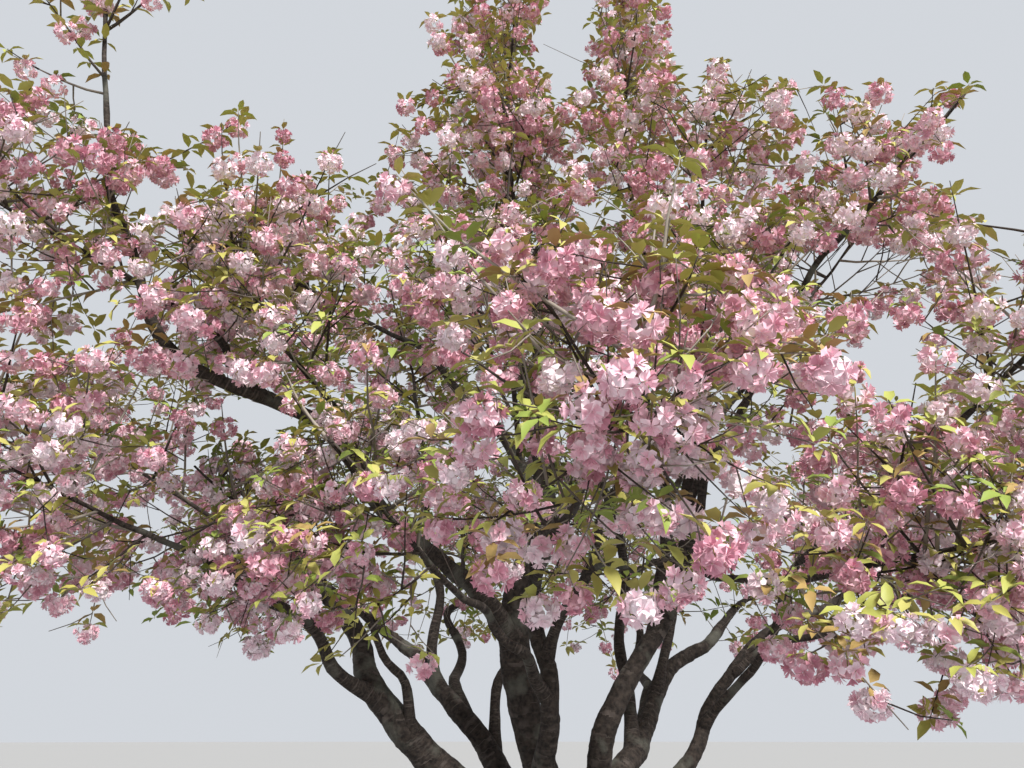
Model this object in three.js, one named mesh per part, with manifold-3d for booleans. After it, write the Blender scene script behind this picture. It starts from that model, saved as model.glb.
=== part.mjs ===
// A double-flowered cherry tree in full bloom: a short trunk that forks low down, crooked
// boughs that spread into a wide crown, and on the end of each bough a mass of twigs with
// round heads of blossom and sprays of young leaves. Millimetres, +Z up. The origin is on
// the ground, in the middle of the flat cut under the trunk. Bearings are in degrees,
// anticlockwise from +X seen from above, so 270 is the front.
import * as THREE from "three";
import { mergeVertices } from "three/addons/utils/BufferGeometryUtils.js";
import Module from "manifold-3d";

const wasm = await Module();
wasm.setup();

// Driving dimensions
const CROWN_REACH = 4000; // trunk axis to the rim of the crown
const TREE_HEIGHT = 8000; // ground to the middle of the highest twigs
const TRUNK_RADIUS = 250; // at the waist, above the root flare
const FORK_HEIGHT = 1120; // ground to the top of the trunk, where the boughs part
const TRUNK_LEAN = -60; // how far the fork stands to the left of the root, along X

// Trunk
const TRUNK_SIDES = 22;
const FLARE_LOBES = 5; // ridges that run down into the roots
const FLARE_DEPTH = 0.13; // of a ridge at the ground, as a share of the radius
const FLARE_FADE = 0.16; // share of the height over which the ridges die out
const RIDGE_DEPTH = 0.035; // of a ridge higher up
const RIDGE_TWIST = 2.2; // how far the ridges wind round the trunk, in radians

// Limbs
const BOUGH_ROOT_SHARE = 0.74; // height of the main boughs' roots, as a share of FORK_HEIGHT
const BOUGH_ROOT_OFFSET = 50; // from the trunk axis to a main bough's root
const BOUGH_TIP_RADIUS = 21; // where a bough ends and its mass of twigs begins
const BOUGH_TAPER = 0.85; // below 1 a bough stays stout for longer
const BOUGH_STEPS = 6;
const MAIN_STEPS = 9;
const BOUGH_SIDES = 5;
const MAIN_SIDES = 8;
const CROOK = 0.035; // sideways swing of a bough, as a share of its length
const CROOK_TURNS = [1.6, 2.3]; // how often it swings, one way and the other
const ROOT_PULL = 0.36; // share of its length over which a bough keeps its first direction
const TIP_PULL = 0.3; // and its last
const FOLLOW = 0.45; // how far a side bough first follows the bough that it leaves
const LEADER_LEAN = 0.2; // how far a leader's tip leans out, against how far it rises
const LEVELLING = 0.6; // how much of its slope a bough keeps where it enters its mass
const ENTRY = 0.92; // how far from its middle a mass's stem begins, as a share of its half-width
const GIRTH_SHARE = 0.62; // thickest a side bough may be, as a share of the bough it leaves
const GIRTH_PER_LENGTH = 0.021; // root radius of a side bough for its length
const GIRTH_LEAST = 14;
const GAP = 0.3; // clear space between two solids that meet

// Twigs
const TWIG_SIDES = 3;
const STEM_STEPS = 3;
const TWIG_TIP_RADIUS = 7;
const TWIG_ROOT_RADIUS = 10; // at least
const STEM_SHARE = 1.72; // length of a mass's stem, as a share of its half-width
const SIDE_TWIGS = [5, 1]; // twigs that leave a stem, and twigs that leave each of those
const FIRST_TWIG = 0.12; // where on a twig the first one leaves it
const TWIG_STRETCH = 0.82; // share of a twig over which others leave it
const TWIG_GIRTH = 0.72; // radius of a twig, as a share of the one that it leaves
const TWIG_TAPER = 0.6; // share of its girth that a twig has lost at its tip
const TWIG_FILL = [0.72, 0.88]; // how far a twig reaches towards the edge of its mass
const SPLIT_ANGLES = [38, 72]; // least and most between a twig and the one that it leaves
const GOLDEN_ANGLE = 137.5; // turn round the stem from one twig to the next
const WANDER = 15; // most that a twig strays from that turn
const RETRY_ANGLE = 75; // further turn of a twig that had no room
const RETRY_SHORTER = 0.12; // and how much shorter it is each time
const RETRIES = 4;
const SHORTEST_TWIG = 150;
const TWIG_LIFT = 0.16; // how much a twig turns up along its length
const STEM_LIFT = 0.06;

// Leaves and blossom
const LEAF_LENGTH = 620; // one spray of young leaves
const LEAF_WIDTH = 340;
const LEAF_THICKNESS = 26;
const LEAF_ROOT_DEPTH = 14; // how far a leaf's root is sunk past the middle of its twig
const BLOOM_LENGTH = 600; // one stretch of blossom along a twig
const BLOOM_WIDTH = 400;
const BLOOM_SET_BACK = 0.16; // from a twig's tip back to the middle of its blossom, for its length
const BLOOM_HANG = 0.16; // and how far that hangs below the twig, for its width
const LEAF_PLACE = [0.5, 0.6]; // where on a twig its leaves leave it
const LEAF_FORWARD = 0.7; // how far leaves point along their twig
const LEAF_UPWARD = 0.4; // and up
const LEAF_ROLL = 1; // most that they turn over, in radians
const SPRAY_SIZES = [0.85, 1.15]; // least and most, as a share of the sizes above
const LEADER_SPRAYS = 0.72; // the same for all the sprays on an upright leader
const BLOOM_ROOM = 0.3; // share of its width that a stretch of blossom keeps clear
const LEAF_ROOM = 0.15;
const SPRAY_SPACING = 290; // least between the middles of two sprays of a mass
const SPACE_SLACK = 1.12; // how far past its half-width a mass's furthest tips may reach
const SPACE_MARGIN = 3; // from any limb, and from the planes between two masses

const BARK = new THREE.MeshStandardMaterial({ color: 0x4a3d36, roughness: 0.9, metalness: 0 });
const BLOSSOM = new THREE.MeshStandardMaterial({ color: 0xe7a3b4, roughness: 0.8, metalness: 0 });

const UP = new THREE.Vector3(0, 0, 1);
const radians = THREE.MathUtils.degToRad;

// Each bough carries a mass of twigs on its end. bearing, reach, height and spread place
// that mass: reach and spread, its half-width, are shares of CROWN_REACH, and height is a
// share of TREE_HEIGHT. The rise of a main bough's root is in degrees.

// name, rise and radius of its root, then bearing, reach, height and spread
const MAIN_BOUGHS = [
  ["left_side", 24, 150, 180, 0.78, 0.42, 0.29],
  ["centre_leader", 84, 125, 200, 0.11, 0.93, 0.13],
  ["right_shoulder", 62, 92, 352, 0.52, 0.6, 0.26],
  ["right_side", 36, 66, 2, 0.8, 0.39, 0.29],
  ["centre_high", 66, 88, 255, 0.43, 0.46, 0.22],
  ["back_left", 50, 105, 144, 0.78, 0.39, 0.29],
  ["back_right", 50, 105, 38, 0.78, 0.39, 0.29],
];

// name, the bough that it leaves and how far along that one, then the same four
const SIDE_BOUGHS = [
  ["left_leader", "centre_leader", 0.22, 218, 0.88, 0.69, 0.15],
  ["left_mid", "left_leader", 0.42, 222, 0.6, 0.47, 0.23],
  ["left_high", "left_leader", 0.6, 212, 0.9, 0.53, 0.22],
  ["left_low", "left_side", 0.5, 211, 0.81, 0.35, 0.23],
  ["left_under", "left_side", 0.34, 207, 0.5, 0.34, 0.21],
  ["top_left", "centre_leader", 0.4, 182, 0.5, 0.62, 0.26],
  ["crown_top", "centre_leader", 0.48, 235, 0.2, 0.68, 0.25],
  ["right_leader", "right_shoulder", 0.42, 322, 0.19, 0.87, 0.14],
  ["top_right", "right_shoulder", 0.52, 312, 0.4, 0.64, 0.25],
  ["right_arm", "right_shoulder", 0.6, 317, 0.67, 0.6, 0.19],
  ["front_low", "centre_high", 0.62, 270, 0.78, 0.33, 0.19],
  ["front_left_low", "centre_high", 0.4, 243, 0.54, 0.31, 0.18],
  ["right_mid", "centre_high", 0.5, 296, 0.53, 0.44, 0.21],
  ["right_low", "right_mid", 0.4, 297, 0.68, 0.28, 0.18],
  ["far_right", "right_side", 0.42, 314, 0.8, 0.41, 0.21],
  ["right_low_side", "right_side", 0.56, 338, 0.76, 0.32, 0.23],
  ["back_mid_right", "back_right", 0.4, 74, 0.78, 0.39, 0.29],
  ["back_mid_left", "back_left", 0.4, 108, 0.78, 0.4, 0.29],
  ["back_high_right", "back_right", 0.5, 30, 0.47, 0.63, 0.27],
  ["back_high", "back_right", 0.3, 85, 0.42, 0.66, 0.27],
  ["back_high_left", "back_left", 0.5, 135, 0.5, 0.62, 0.27],
  ["back_inner", "back_left", 0.28, 92, 0.32, 0.4, 0.21],
];

// Half-height of the masses that aren't nearly round, as a share of CROWN_REACH
const DEPTHS = { centre_leader: 0.26, left_leader: 0.27, right_leader: 0.25, right_arm: 0.12 };
const ROUND_DEPTH = 0.9; // half-height of the others, as a share of their half-width
const LEADERS = ["centre_leader", "left_leader", "right_leader"]; // upright, above the dome

// A small repeatable source of numbers from 0 to 1
function seeded(seed) {
  let state = seed >>> 0;
  return () => {
    state = (state + 0x6d2b79f5) >>> 0;
    let t = Math.imul(state ^ (state >>> 15), 1 | state);
    t = (t + Math.imul(t ^ (t >>> 7), 61 | t)) ^ t;
    return ((t ^ (t >>> 14)) >>> 0) / 4294967296;
  };
}

const between = ([least, most], share) => least + (most - least) * share;
const childSeed = (seed, k) => (Math.imul(seed, 31) + 7919 * (k + 1)) >>> 0;

// A point at a bearing, a distance from the trunk axis and a height
function place(bearing, reach, height) {
  const angle = radians(bearing);
  return new THREE.Vector3(reach * Math.cos(angle), reach * Math.sin(angle), height);
}

// The unit vector square to dir that lies at an angle round it
function sideways(dir, angle) {
  const reference = Math.abs(dir.z) > 0.9 ? new THREE.Vector3(1, 0, 0) : UP;
  const across = new THREE.Vector3().crossVectors(dir, reference).normalize();
  return across.applyAxisAngle(dir, angle);
}

// Trunk

const trunkAxis = (height) => new THREE.Vector3((TRUNK_LEAN * height) / FORK_HEIGHT, 0, height);

// Share of the height, and radius as a share of TRUNK_RADIUS
const TRUNK_PROFILE = [
  [0, 1.5],
  [0.06, 1.34],
  [0.16, 1.14],
  [0.3, 1.03],
  [0.5, 1],
  [0.7, 1.05],
  [0.85, 1.12],
  [0.94, 0.98],
  [1, 0.62],
];

function trunkRadius(share, girth, angle) {
  const ridge = FLARE_DEPTH * Math.exp(-share / FLARE_FADE) + RIDGE_DEPTH;
  return TRUNK_RADIUS * girth * (1 + ridge * Math.sin(FLARE_LOBES * angle + RIDGE_TWIST * share));
}

// The trunk as a cylinder whose rings are set out level, so the cut at the ground is flat
function trunkGeometry(extra) {
  const rings = TRUNK_PROFILE.length - 1;
  const shape = new THREE.CylinderGeometry(1, 1, rings, TRUNK_SIDES, rings);
  const spots = shape.attributes.position;
  for (let i = 0; i < spots.count; i++) {
    const ring = Math.round(spots.getY(i) + rings / 2);
    const [share, girth] = TRUNK_PROFILE[ring];
    const fromAxis = Math.hypot(spots.getX(i), spots.getZ(i));
    const angle = Math.atan2(-spots.getZ(i), spots.getX(i));
    const radius = fromAxis > 0.5 ? trunkRadius(share, girth, angle) + extra : 0;
    const top = ring === rings ? extra : 0;
    const spot = trunkAxis(share * FORK_HEIGHT + top);
    spots.setXYZ(i, spot.x + radius * Math.cos(angle), spot.y + radius * Math.sin(angle), spot.z);
  }
  return shape;
}

// Limbs

// A closed tube with a radius that changes along its curve
function taperedTube(curve, radiusAt, sides, steps) {
  const shape = new THREE.CylinderGeometry(1, 1, steps, sides, steps);
  const frames = curve.computeFrenetFrames(steps, false);
  const spots = shape.attributes.position;
  for (let i = 0; i < spots.count; i++) {
    const step = Math.round(spots.getY(i) + steps / 2);
    const radius = radiusAt(step / steps);
    const spot = curve
      .getPointAt(step / steps)
      .addScaledVector(frames.normals[step], spots.getX(i) * radius)
      .addScaledVector(frames.binormals[step], -spots.getZ(i) * radius);
    spots.setXYZ(i, spot.x, spot.y, spot.z);
  }
  return shape;
}

function solidOf(geometry) {
  const bare = geometry.clone();
  bare.deleteAttribute("normal");
  bare.deleteAttribute("uv");
  const merged = mergeVertices(bare, 1e-3);
  return new wasm.Manifold(
    new wasm.Mesh({
      numProp: 3,
      vertProperties: merged.attributes.position.array,
      triVerts: new Uint32Array(merged.index.array),
    }),
  );
}

// The largest body of a solid, without loose scraps or sealed hollows
function largestBody(solid) {
  const bodies = solid.decompose();
  return bodies.reduce((best, body) => (body.volume() > best.volume() ? body : best));
}

function meshOf(name, solid, material) {
  const { numProp, vertProperties, triVerts } = solid.getMesh();
  const geometry = new THREE.BufferGeometry();
  geometry.setAttribute("position", new THREE.BufferAttribute(new Float32Array(vertProperties), numProp));
  geometry.setIndex(new THREE.BufferAttribute(new Uint32Array(triVerts), 1));
  geometry.computeVertexNormals();
  const mesh = new THREE.Mesh(geometry, material);
  mesh.name = name;
  return mesh;
}

// A bough's centreline: a smooth sweep from its root to its tip, with a crook or two
class BoughCurve extends THREE.Curve {
  constructor(sweep, swing, rand) {
    super();
    this.sweep = sweep;
    this.swing = swing;
    this.phases = [rand(), rand()];
    this.across = sideways(sweep.v3.clone().sub(sweep.v0).normalize(), Math.PI * rand());
    this.over = sideways(this.across, Math.PI * rand());
  }
  getPoint(t, target = new THREE.Vector3()) {
    const fade = Math.sin(Math.PI * t) * this.swing;
    const one = fade * Math.sin(2 * Math.PI * (CROOK_TURNS[0] * t + this.phases[0]));
    const two = fade * Math.sin(2 * Math.PI * (CROOK_TURNS[1] * t + this.phases[1]));
    this.sweep.getPoint(t, target);
    return target.addScaledVector(this.across, one).addScaledVector(this.over, two);
  }
}

const limbs = new Map();

// The space that a mass of twigs has to itself
function massSpace(name, bearing, reach, height, spread) {
  return {
    centre: place(bearing, reach * CROWN_REACH, height * TREE_HEIGHT),
    spread: spread * CROWN_REACH,
    depth: (DEPTHS[name] || ROUND_DEPTH * spread) * CROWN_REACH,
    leader: LEADERS.includes(name),
  };
}

// Half-width of a mass along a direction
function extentAlong(mass, dir) {
  return 1 / Math.hypot(Math.hypot(dir.x, dir.y) / mass.spread, dir.z / mass.depth);
}

// Where a main bough leaves the trunk, and in which direction
function trunkRoot(bearing, rise) {
  const outward = place(bearing, 1, 0);
  const root = trunkAxis(BOUGH_ROOT_SHARE * FORK_HEIGHT).addScaledVector(outward, BOUGH_ROOT_OFFSET);
  const leaving = outward.multiplyScalar(Math.cos(radians(rise)));
  return { root, leaving: leaving.addScaledVector(UP, Math.sin(radians(rise))) };
}

// Where a side bough leaves another, and in which direction
function boughRoot(parent, at, centre) {
  const root = parent.curve.getPointAt(at);
  const leaving = centre.clone().sub(root).normalize();
  return { root, leaving: leaving.addScaledVector(parent.curve.getTangentAt(at), FOLLOW).normalize() };
}

// A bough with its mass's space: a spheroid round centre, spread across and depth high
function makeBough(name, index, mass, rooted, girthAt, sides, steps) {
  const { root, leaving } = rooted(mass.centre);
  const arriving = mass.centre.clone().sub(root);
  if (mass.leader) arriving.multiplyScalar(LEADER_LEAN).setZ(arriving.length() / LEADER_LEAN);
  else arriving.z *= LEVELLING;
  arriving.normalize();
  const tip = mass.centre.clone().addScaledVector(arriving, -ENTRY * extentAlong(mass, arriving));
  const length = root.distanceTo(tip);
  const sweep = new THREE.CubicBezierCurve3(
    root,
    root.clone().addScaledVector(leaving, ROOT_PULL * length),
    tip.clone().addScaledVector(arriving, -TIP_PULL * length),
    tip,
  );
  const curve = new BoughCurve(sweep, CROOK * length, seeded(childSeed(index + 1, 5)));
  const rootRadius = girthAt(length);
  const radiusAt = (t) =>
    BOUGH_TIP_RADIUS + (rootRadius - BOUGH_TIP_RADIUS) * (1 - t) ** BOUGH_TAPER;
  const clear = GAP / Math.cos(Math.PI / sides);
  return {
    ...mass,
    name,
    index,
    curve,
    radiusAt,
    steps,
    arriving: curve.getTangentAt(1),
    solid: () => solidOf(taperedTube(curve, radiusAt, sides, steps)),
    fat: () => solidOf(taperedTube(curve, (t) => radiusAt(t) + clear, sides, steps)),
  };
}

// Twigs, leaves and blossom

// The shortest distance between two straight stretches
function stretchDistance(a, b, c, d) {
  const first = new THREE.Vector3().subVectors(b, a);
  const second = new THREE.Vector3().subVectors(d, c);
  const apart = new THREE.Vector3().subVectors(a, c);
  const aa = first.dot(first) + 1e-9;
  const bb = second.dot(second) + 1e-9;
  const ab = first.dot(second);
  const af = first.dot(apart);
  const bf = second.dot(apart);
  const clamp = (x) => THREE.MathUtils.clamp(x, 0, 1);
  const det = aa * bb - ab * ab;
  let s = det > 1e-9 ? clamp((ab * bf - af * bb) / det) : 0;
  const t = clamp((ab * s + bf) / bb);
  s = clamp((ab * t - af) / aa);
  return apart.addScaledVector(first, s).addScaledVector(second, -t).length();
}

function stretchesOf(curve, radiusAt, steps) {
  const stretches = [];
  for (let k = 0; k < steps; k++) {
    stretches.push({
      a: curve.getPointAt(k / steps),
      b: curve.getPointAt((k + 1) / steps),
      radius: Math.max(radiusAt(k / steps), radiusAt((k + 1) / steps)),
    });
  }
  return stretches;
}

// Whether a rounded stretch lies in a mass's own space, clear of every limb
function fits(mass, a, b, radius, obstacles) {
  for (const share of [0, 0.5, 1]) {
    const spot = a.clone().lerp(b, share);
    const off = spot.clone().sub(mass.centre);
    const reach = Math.hypot(off.x, off.y) + radius;
    const rise = Math.abs(off.z) + radius;
    if (Math.hypot(reach / mass.spread, rise / mass.depth) > SPACE_SLACK) return false;
    for (const other of limbs.values()) {
      if (other === mass) continue;
      const apart = mass.centre.distanceTo(other.centre);
      const mine = spot.distanceToSquared(mass.centre) - mass.spread ** 2;
      const theirs = spot.distanceToSquared(other.centre) - other.spread ** 2;
      if ((theirs - mine) / (2 * apart) < radius + SPACE_MARGIN) return false;
    }
  }
  return obstacles.every(
    (limb) => stretchDistance(a, b, limb.a, limb.b) > radius + limb.radius + SPACE_MARGIN,
  );
}

// A twig's line: straight out, turning up a little towards its end
function twigCurve(start, dir, length, lift) {
  const end = start.clone().addScaledVector(dir, length).addScaledVector(UP, lift * length);
  const bend = start.clone().addScaledVector(dir, 0.5 * length);
  return new THREE.QuadraticBezierCurve3(start, bend, end);
}

function stemOf(mass) {
  const start = mass.curve.getPointAt(1).addScaledVector(mass.arriving, GAP);
  const length = STEM_SHARE * extentAlong(mass, mass.arriving);
  return twigCurve(start, mass.arriving, length, STEM_LIFT);
}

// How far it is from a spot inside a mass to the mass's edge, along a direction
function roomAlong(mass, spot, dir) {
  const shape = new THREE.Vector3(mass.spread, mass.spread, mass.depth);
  const from = spot.clone().sub(mass.centre).divide(shape);
  const step = dir.clone().divide(shape);
  const a = step.dot(step);
  const b = from.dot(step);
  const c = from.dot(from) - 1;
  return (Math.sqrt(Math.max(b * b - a * c, 0)) - b) / a;
}

// The twigs that leave one twig, each followed by its own, down to the last level
function growTwigs(mass, curve, radius, level, seed, obstacles, found) {
  if (level >= SIDE_TWIGS.length) return;
  const rand = seeded(seed);
  const count = SIDE_TWIGS[level];
  const phase = 360 * rand();
  for (let k = 0; k < count; k++) {
    const share = FIRST_TWIG + (TWIG_STRETCH * (k + 0.35 + 0.3 * rand())) / count;
    const split = radians(between(SPLIT_ANGLES, rand()));
    const wander = between([-WANDER, WANDER], rand());
    const fill = between(TWIG_FILL, rand());
    const start = curve.getPointAt(share);
    const thickness = Math.max(TWIG_ROOT_RADIUS, radius * (1 - TWIG_TAPER * share) * TWIG_GIRTH);
    for (let retry = 0; retry < RETRIES; retry++) {
      const turn = radians(phase + k * GOLDEN_ANGLE + wander + RETRY_ANGLE * retry);
      const tangent = curve.getTangentAt(share);
      const dir = sideways(tangent, turn).multiplyScalar(Math.sin(split));
      dir.addScaledVector(tangent, Math.cos(split)).normalize();
      const reach = fill * (1 - RETRY_SHORTER * retry) * roomAlong(mass, start, dir);
      const twig = twigCurve(start, dir, reach, TWIG_LIFT);
      if (reach < SHORTEST_TWIG || !fits(mass, start, twig.v2, thickness, obstacles)) continue;
      found.push({ curve: twig, radius: thickness, level: level + 1 });
      growTwigs(mass, twig, thickness, level + 1, childSeed(seed, k), obstacles, found);
      break;
    }
  }
}

function twigSolid(curve, radius, steps) {
  const radiusAt = (t) => radius + (TWIG_TIP_RADIUS - radius) * t;
  return solidOf(taperedTube(curve, radiusAt, TWIG_SIDES, steps));
}

// A leaf is a flat eight-sided gem, widest nearer its root, which is sunk in the twig
function leafSolid(root, dir, roll, length) {
  const shape = new THREE.OctahedronGeometry(1);
  shape.scale(LEAF_WIDTH / 2, length / 2, LEAF_THICKNESS / 2);
  const spots = shape.attributes.position;
  for (let i = 0; i < spots.count; i++) {
    if (Math.abs(spots.getY(i)) < 1) spots.setY(i, -0.08 * length);
  }
  shape.translate(0, length / 2 - LEAF_ROOT_DEPTH, 0);
  const side = sideways(dir, roll);
  const face = new THREE.Vector3().crossVectors(side, dir);
  shape.applyMatrix4(new THREE.Matrix4().makeBasis(side, dir, face).setPosition(root));
  return solidOf(shape);
}

// A stretch of blossom is a plump eight-sided gem, drawn out along its twig
function bloomSolid(centre, dir, roll, size) {
  const shape = new THREE.OctahedronGeometry(0.5);
  shape.rotateY(roll);
  shape.scale(BLOOM_WIDTH * size, BLOOM_LENGTH * size, BLOOM_WIDTH * size);
  const side = sideways(dir, 0);
  const face = new THREE.Vector3().crossVectors(side, dir);
  shape.applyMatrix4(new THREE.Matrix4().makeBasis(side, dir, face).setPosition(centre));
  return solidOf(shape);
}

// Leaves and blossom for a mass's twigs, each kept off the others. Every twig ends in
// blossom that hangs a little below it, and each but the stem has a spray of leaves.
function dress(mass, twigs, obstacles, pieces) {
  const rand = seeded(childSeed(mass.index + 1, 9));
  const taken = [];
  const add = (solid, middle, end, room, size) => {
    if (taken.some((other) => other.distanceTo(middle) < SPRAY_SPACING * size)) return;
    if (!fits(mass, middle, end, room, obstacles)) return;
    pieces.push(solid());
    taken.push(middle);
  };
  for (const { curve, level } of twigs) {
    const size = (mass.leader ? LEADER_SPRAYS : 1) * between(SPRAY_SIZES, rand());
    const tangent = curve.getTangentAt(1);
    const roll = Math.PI * rand();
    const middle = curve.v2.clone().addScaledVector(tangent, -BLOOM_SET_BACK * BLOOM_LENGTH * size);
    middle.addScaledVector(UP, -BLOOM_HANG * BLOOM_WIDTH * size);
    const room = BLOOM_ROOM * BLOOM_WIDTH * size;
    add(() => bloomSolid(middle, tangent, roll, size), middle, middle, room, size);
    if (level === 0) continue;
    const root = curve.getPointAt(between(LEAF_PLACE, rand()));
    const dir = sideways(tangent, 2 * Math.PI * rand()).addScaledVector(tangent, LEAF_FORWARD);
    dir.addScaledVector(UP, LEAF_UPWARD).normalize();
    const leafRoll = between([-LEAF_ROLL, LEAF_ROLL], rand());
    const length = LEAF_LENGTH * size;
    const leafMiddle = root.clone().addScaledVector(dir, 0.5 * length);
    const leafEnd = root.clone().addScaledVector(dir, 0.85 * length);
    const leafRoom = LEAF_ROOM * LEAF_WIDTH;
    add(() => leafSolid(root, dir, leafRoll, length), leafMiddle, leafEnd, leafRoom, size);
  }
}

// Assembly

const tree = new THREE.Group();
const trunk = solidOf(trunkGeometry(0));
const fatTrunk = solidOf(trunkGeometry(GAP / Math.cos(Math.PI / TRUNK_SIDES)));
tree.add(meshOf("trunk", trunk, BARK));

for (const [name, rise, radius, bearing, ...sizes] of MAIN_BOUGHS) {
  const mass = massSpace(name, bearing, ...sizes);
  const rooted = () => trunkRoot(bearing, rise);
  limbs.set(name, makeBough(name, limbs.size, mass, rooted, () => radius, MAIN_SIDES, MAIN_STEPS));
}
for (const [name, from, at, ...sizes] of SIDE_BOUGHS) {
  const parent = limbs.get(from);
  const rooted = (centre) => boughRoot(parent, at, centre);
  const thickest = GIRTH_SHARE * parent.radiusAt(at);
  const girth = (length) => Math.min(thickest, GIRTH_PER_LENGTH * length + GIRTH_LEAST);
  const mass = massSpace(name, ...sizes);
  limbs.set(name, makeBough(name, limbs.size, mass, rooted, girth, BOUGH_SIDES, BOUGH_STEPS));
}

// Each bough is cut back from the trunk and from the boughs before it
const fatLimbs = [fatTrunk];
for (const limb of limbs.values()) {
  const cut = fatLimbs.reduce((solid, fat) => solid.subtract(fat), limb.solid());
  tree.add(meshOf(limb.name + "_bough", largestBody(cut), BARK));
  fatLimbs.push(limb.fat());
}

const trunkObstacle = {
  a: trunkAxis(0),
  b: trunkAxis(FORK_HEIGHT),
  radius: TRUNK_RADIUS * Math.max(...TRUNK_PROFILE.map(([, girth]) => girth)),
};
const boughObstacles = [trunkObstacle];
for (const limb of limbs.values()) {
  boughObstacles.push(...stretchesOf(limb.curve, limb.radiusAt, 2 * limb.steps));
}

for (const mass of limbs.values()) {
  const stem = stemOf(mass);
  const obstacles = [...boughObstacles];
  for (const other of limbs.values()) {
    if (other !== mass) obstacles.push(...stretchesOf(stemOf(other), () => BOUGH_TIP_RADIUS, 4));
  }
  const twigs = [{ curve: stem, radius: BOUGH_TIP_RADIUS, level: 0 }];
  growTwigs(mass, stem, BOUGH_TIP_RADIUS, 0, childSeed(mass.index + 1, 3), obstacles, twigs);
  const pieces = twigs.map((twig) => twigSolid(twig.curve, twig.radius, twig.level ? 1 : STEM_STEPS));
  dress(mass, twigs, obstacles, pieces);
  tree.add(meshOf(mass.name + "_foliage", largestBody(wasm.Manifold.union(pieces)), BLOSSOM));
}

export default tree;
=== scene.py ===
import functools
import itertools
import math

import bmesh
import bpy
import numpy as np
from bpy.props import FloatProperty, FloatVectorProperty, IntProperty, PointerProperty
from mathutils import Matrix, Vector, kdtree, noise


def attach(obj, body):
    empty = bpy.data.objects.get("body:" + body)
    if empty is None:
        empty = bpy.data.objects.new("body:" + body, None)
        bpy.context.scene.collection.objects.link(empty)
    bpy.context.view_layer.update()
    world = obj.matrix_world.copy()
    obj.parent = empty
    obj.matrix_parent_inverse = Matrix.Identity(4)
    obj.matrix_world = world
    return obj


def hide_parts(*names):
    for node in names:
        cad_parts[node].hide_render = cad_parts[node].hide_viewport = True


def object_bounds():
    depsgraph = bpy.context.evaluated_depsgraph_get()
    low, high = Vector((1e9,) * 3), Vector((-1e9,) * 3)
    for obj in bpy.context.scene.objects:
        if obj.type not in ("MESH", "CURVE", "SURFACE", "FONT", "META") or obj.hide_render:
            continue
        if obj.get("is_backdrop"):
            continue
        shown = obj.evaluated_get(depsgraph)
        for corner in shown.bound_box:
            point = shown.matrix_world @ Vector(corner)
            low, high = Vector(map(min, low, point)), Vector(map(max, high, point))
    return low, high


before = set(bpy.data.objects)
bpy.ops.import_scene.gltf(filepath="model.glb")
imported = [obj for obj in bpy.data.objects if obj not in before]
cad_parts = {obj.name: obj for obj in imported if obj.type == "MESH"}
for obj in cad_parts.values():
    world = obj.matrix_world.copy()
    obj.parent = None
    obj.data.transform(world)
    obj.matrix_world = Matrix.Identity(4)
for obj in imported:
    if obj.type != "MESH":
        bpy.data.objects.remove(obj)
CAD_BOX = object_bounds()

bl_info = {
    "name": "Cherry blossom tree",
    "version": (1, 0, 0),
    "blender": (4, 5, 0),
    "location": "View3D > Sidebar > Tree",
    "description": "Bark, twigs, blossom and young leaves for a double-flowered cherry tree",
    "category": "Object",
}

BODY = "root"  # the frame's one body, which carries every piece
BOX_INSET = 0.07  # how far spots that bear blossom stay inside the solids' box
BOX_LOW = np.array(CAD_BOX[0]) + BOX_INSET
BOX_HIGH = np.array(CAD_BOX[1]) - BOX_INSET

# The growth rule of the part's source, written again in metres. Bearings are in degrees,
# anticlockwise from +X seen from above, so 270 is the front.
CROWN_REACH = 4.0  # trunk axis to the rim of the crown
TREE_HEIGHT = 8.0  # ground to the middle of the highest twigs
TRUNK_RADIUS = 0.25  # at the waist, above the root flare
FORK_HEIGHT = 1.12  # ground to the top of the trunk, where the boughs part
TRUNK_LEAN = -0.06  # how far the fork stands from the root, along X
FLARE_LOBES = 5  # ridges that run down into the roots
FLARE_DEPTH = 0.13  # of a ridge at the ground, as a share of the radius
FLARE_FADE = 0.16  # share of the height over which the ridges die out
RIDGE_DEPTH = 0.035  # of a ridge higher up
RIDGE_TWIST = 2.2  # how far the ridges wind round the trunk, in radians
# Share of the trunk's height, and radius as a share of TRUNK_RADIUS
TRUNK_PROFILE = (
    (0, 1.5),
    (0.06, 1.34),
    (0.16, 1.14),
    (0.3, 1.03),
    (0.5, 1),
    (0.7, 1.05),
    (0.85, 1.12),
    (0.94, 0.98),
    (1, 0.62),
)
BOUGH_ROOT_SHARE = 0.74  # height of the main boughs' roots, as a share of FORK_HEIGHT
BOUGH_ROOT_OFFSET = 0.05  # from the trunk axis to a main bough's root
BOUGH_TIP_RADIUS = 0.021  # where a bough ends and its mass of twigs begins
BOUGH_TAPER = 0.85  # below 1 a bough stays stout for longer
BOUGH_STEPS = 6  # straight stretches of a side bough
MAIN_STEPS = 9  # and of a main bough
CROOK = 0.035  # sideways swing of a bough, as a share of its length
CROOK_TURNS = (1.6, 2.3)  # how often it swings, one way and the other
CROOK_SEED = 5
ROOT_PULL = 0.36  # share of its length over which a bough keeps its first direction
TIP_PULL = 0.3  # and its last
FOLLOW = 0.45  # how far a side bough first follows the bough that it leaves
LEADER_LEAN = 0.2  # how far a leader's tip leans out, against how far it rises
LEVELLING = 0.6  # how much of its slope a bough keeps where it enters its mass
ENTRY = 0.92  # how far from its middle a mass's stem begins, as a share of its half-width
GIRTH_SHARE = 0.62  # thickest a side bough may be, as a share of the bough that it leaves
GIRTH_PER_LENGTH = 0.021  # root radius of a side bough for its length
GIRTH_LEAST = 0.014  # and of one without any length
GAP = 0.0003  # clear space between two solids that meet
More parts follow.
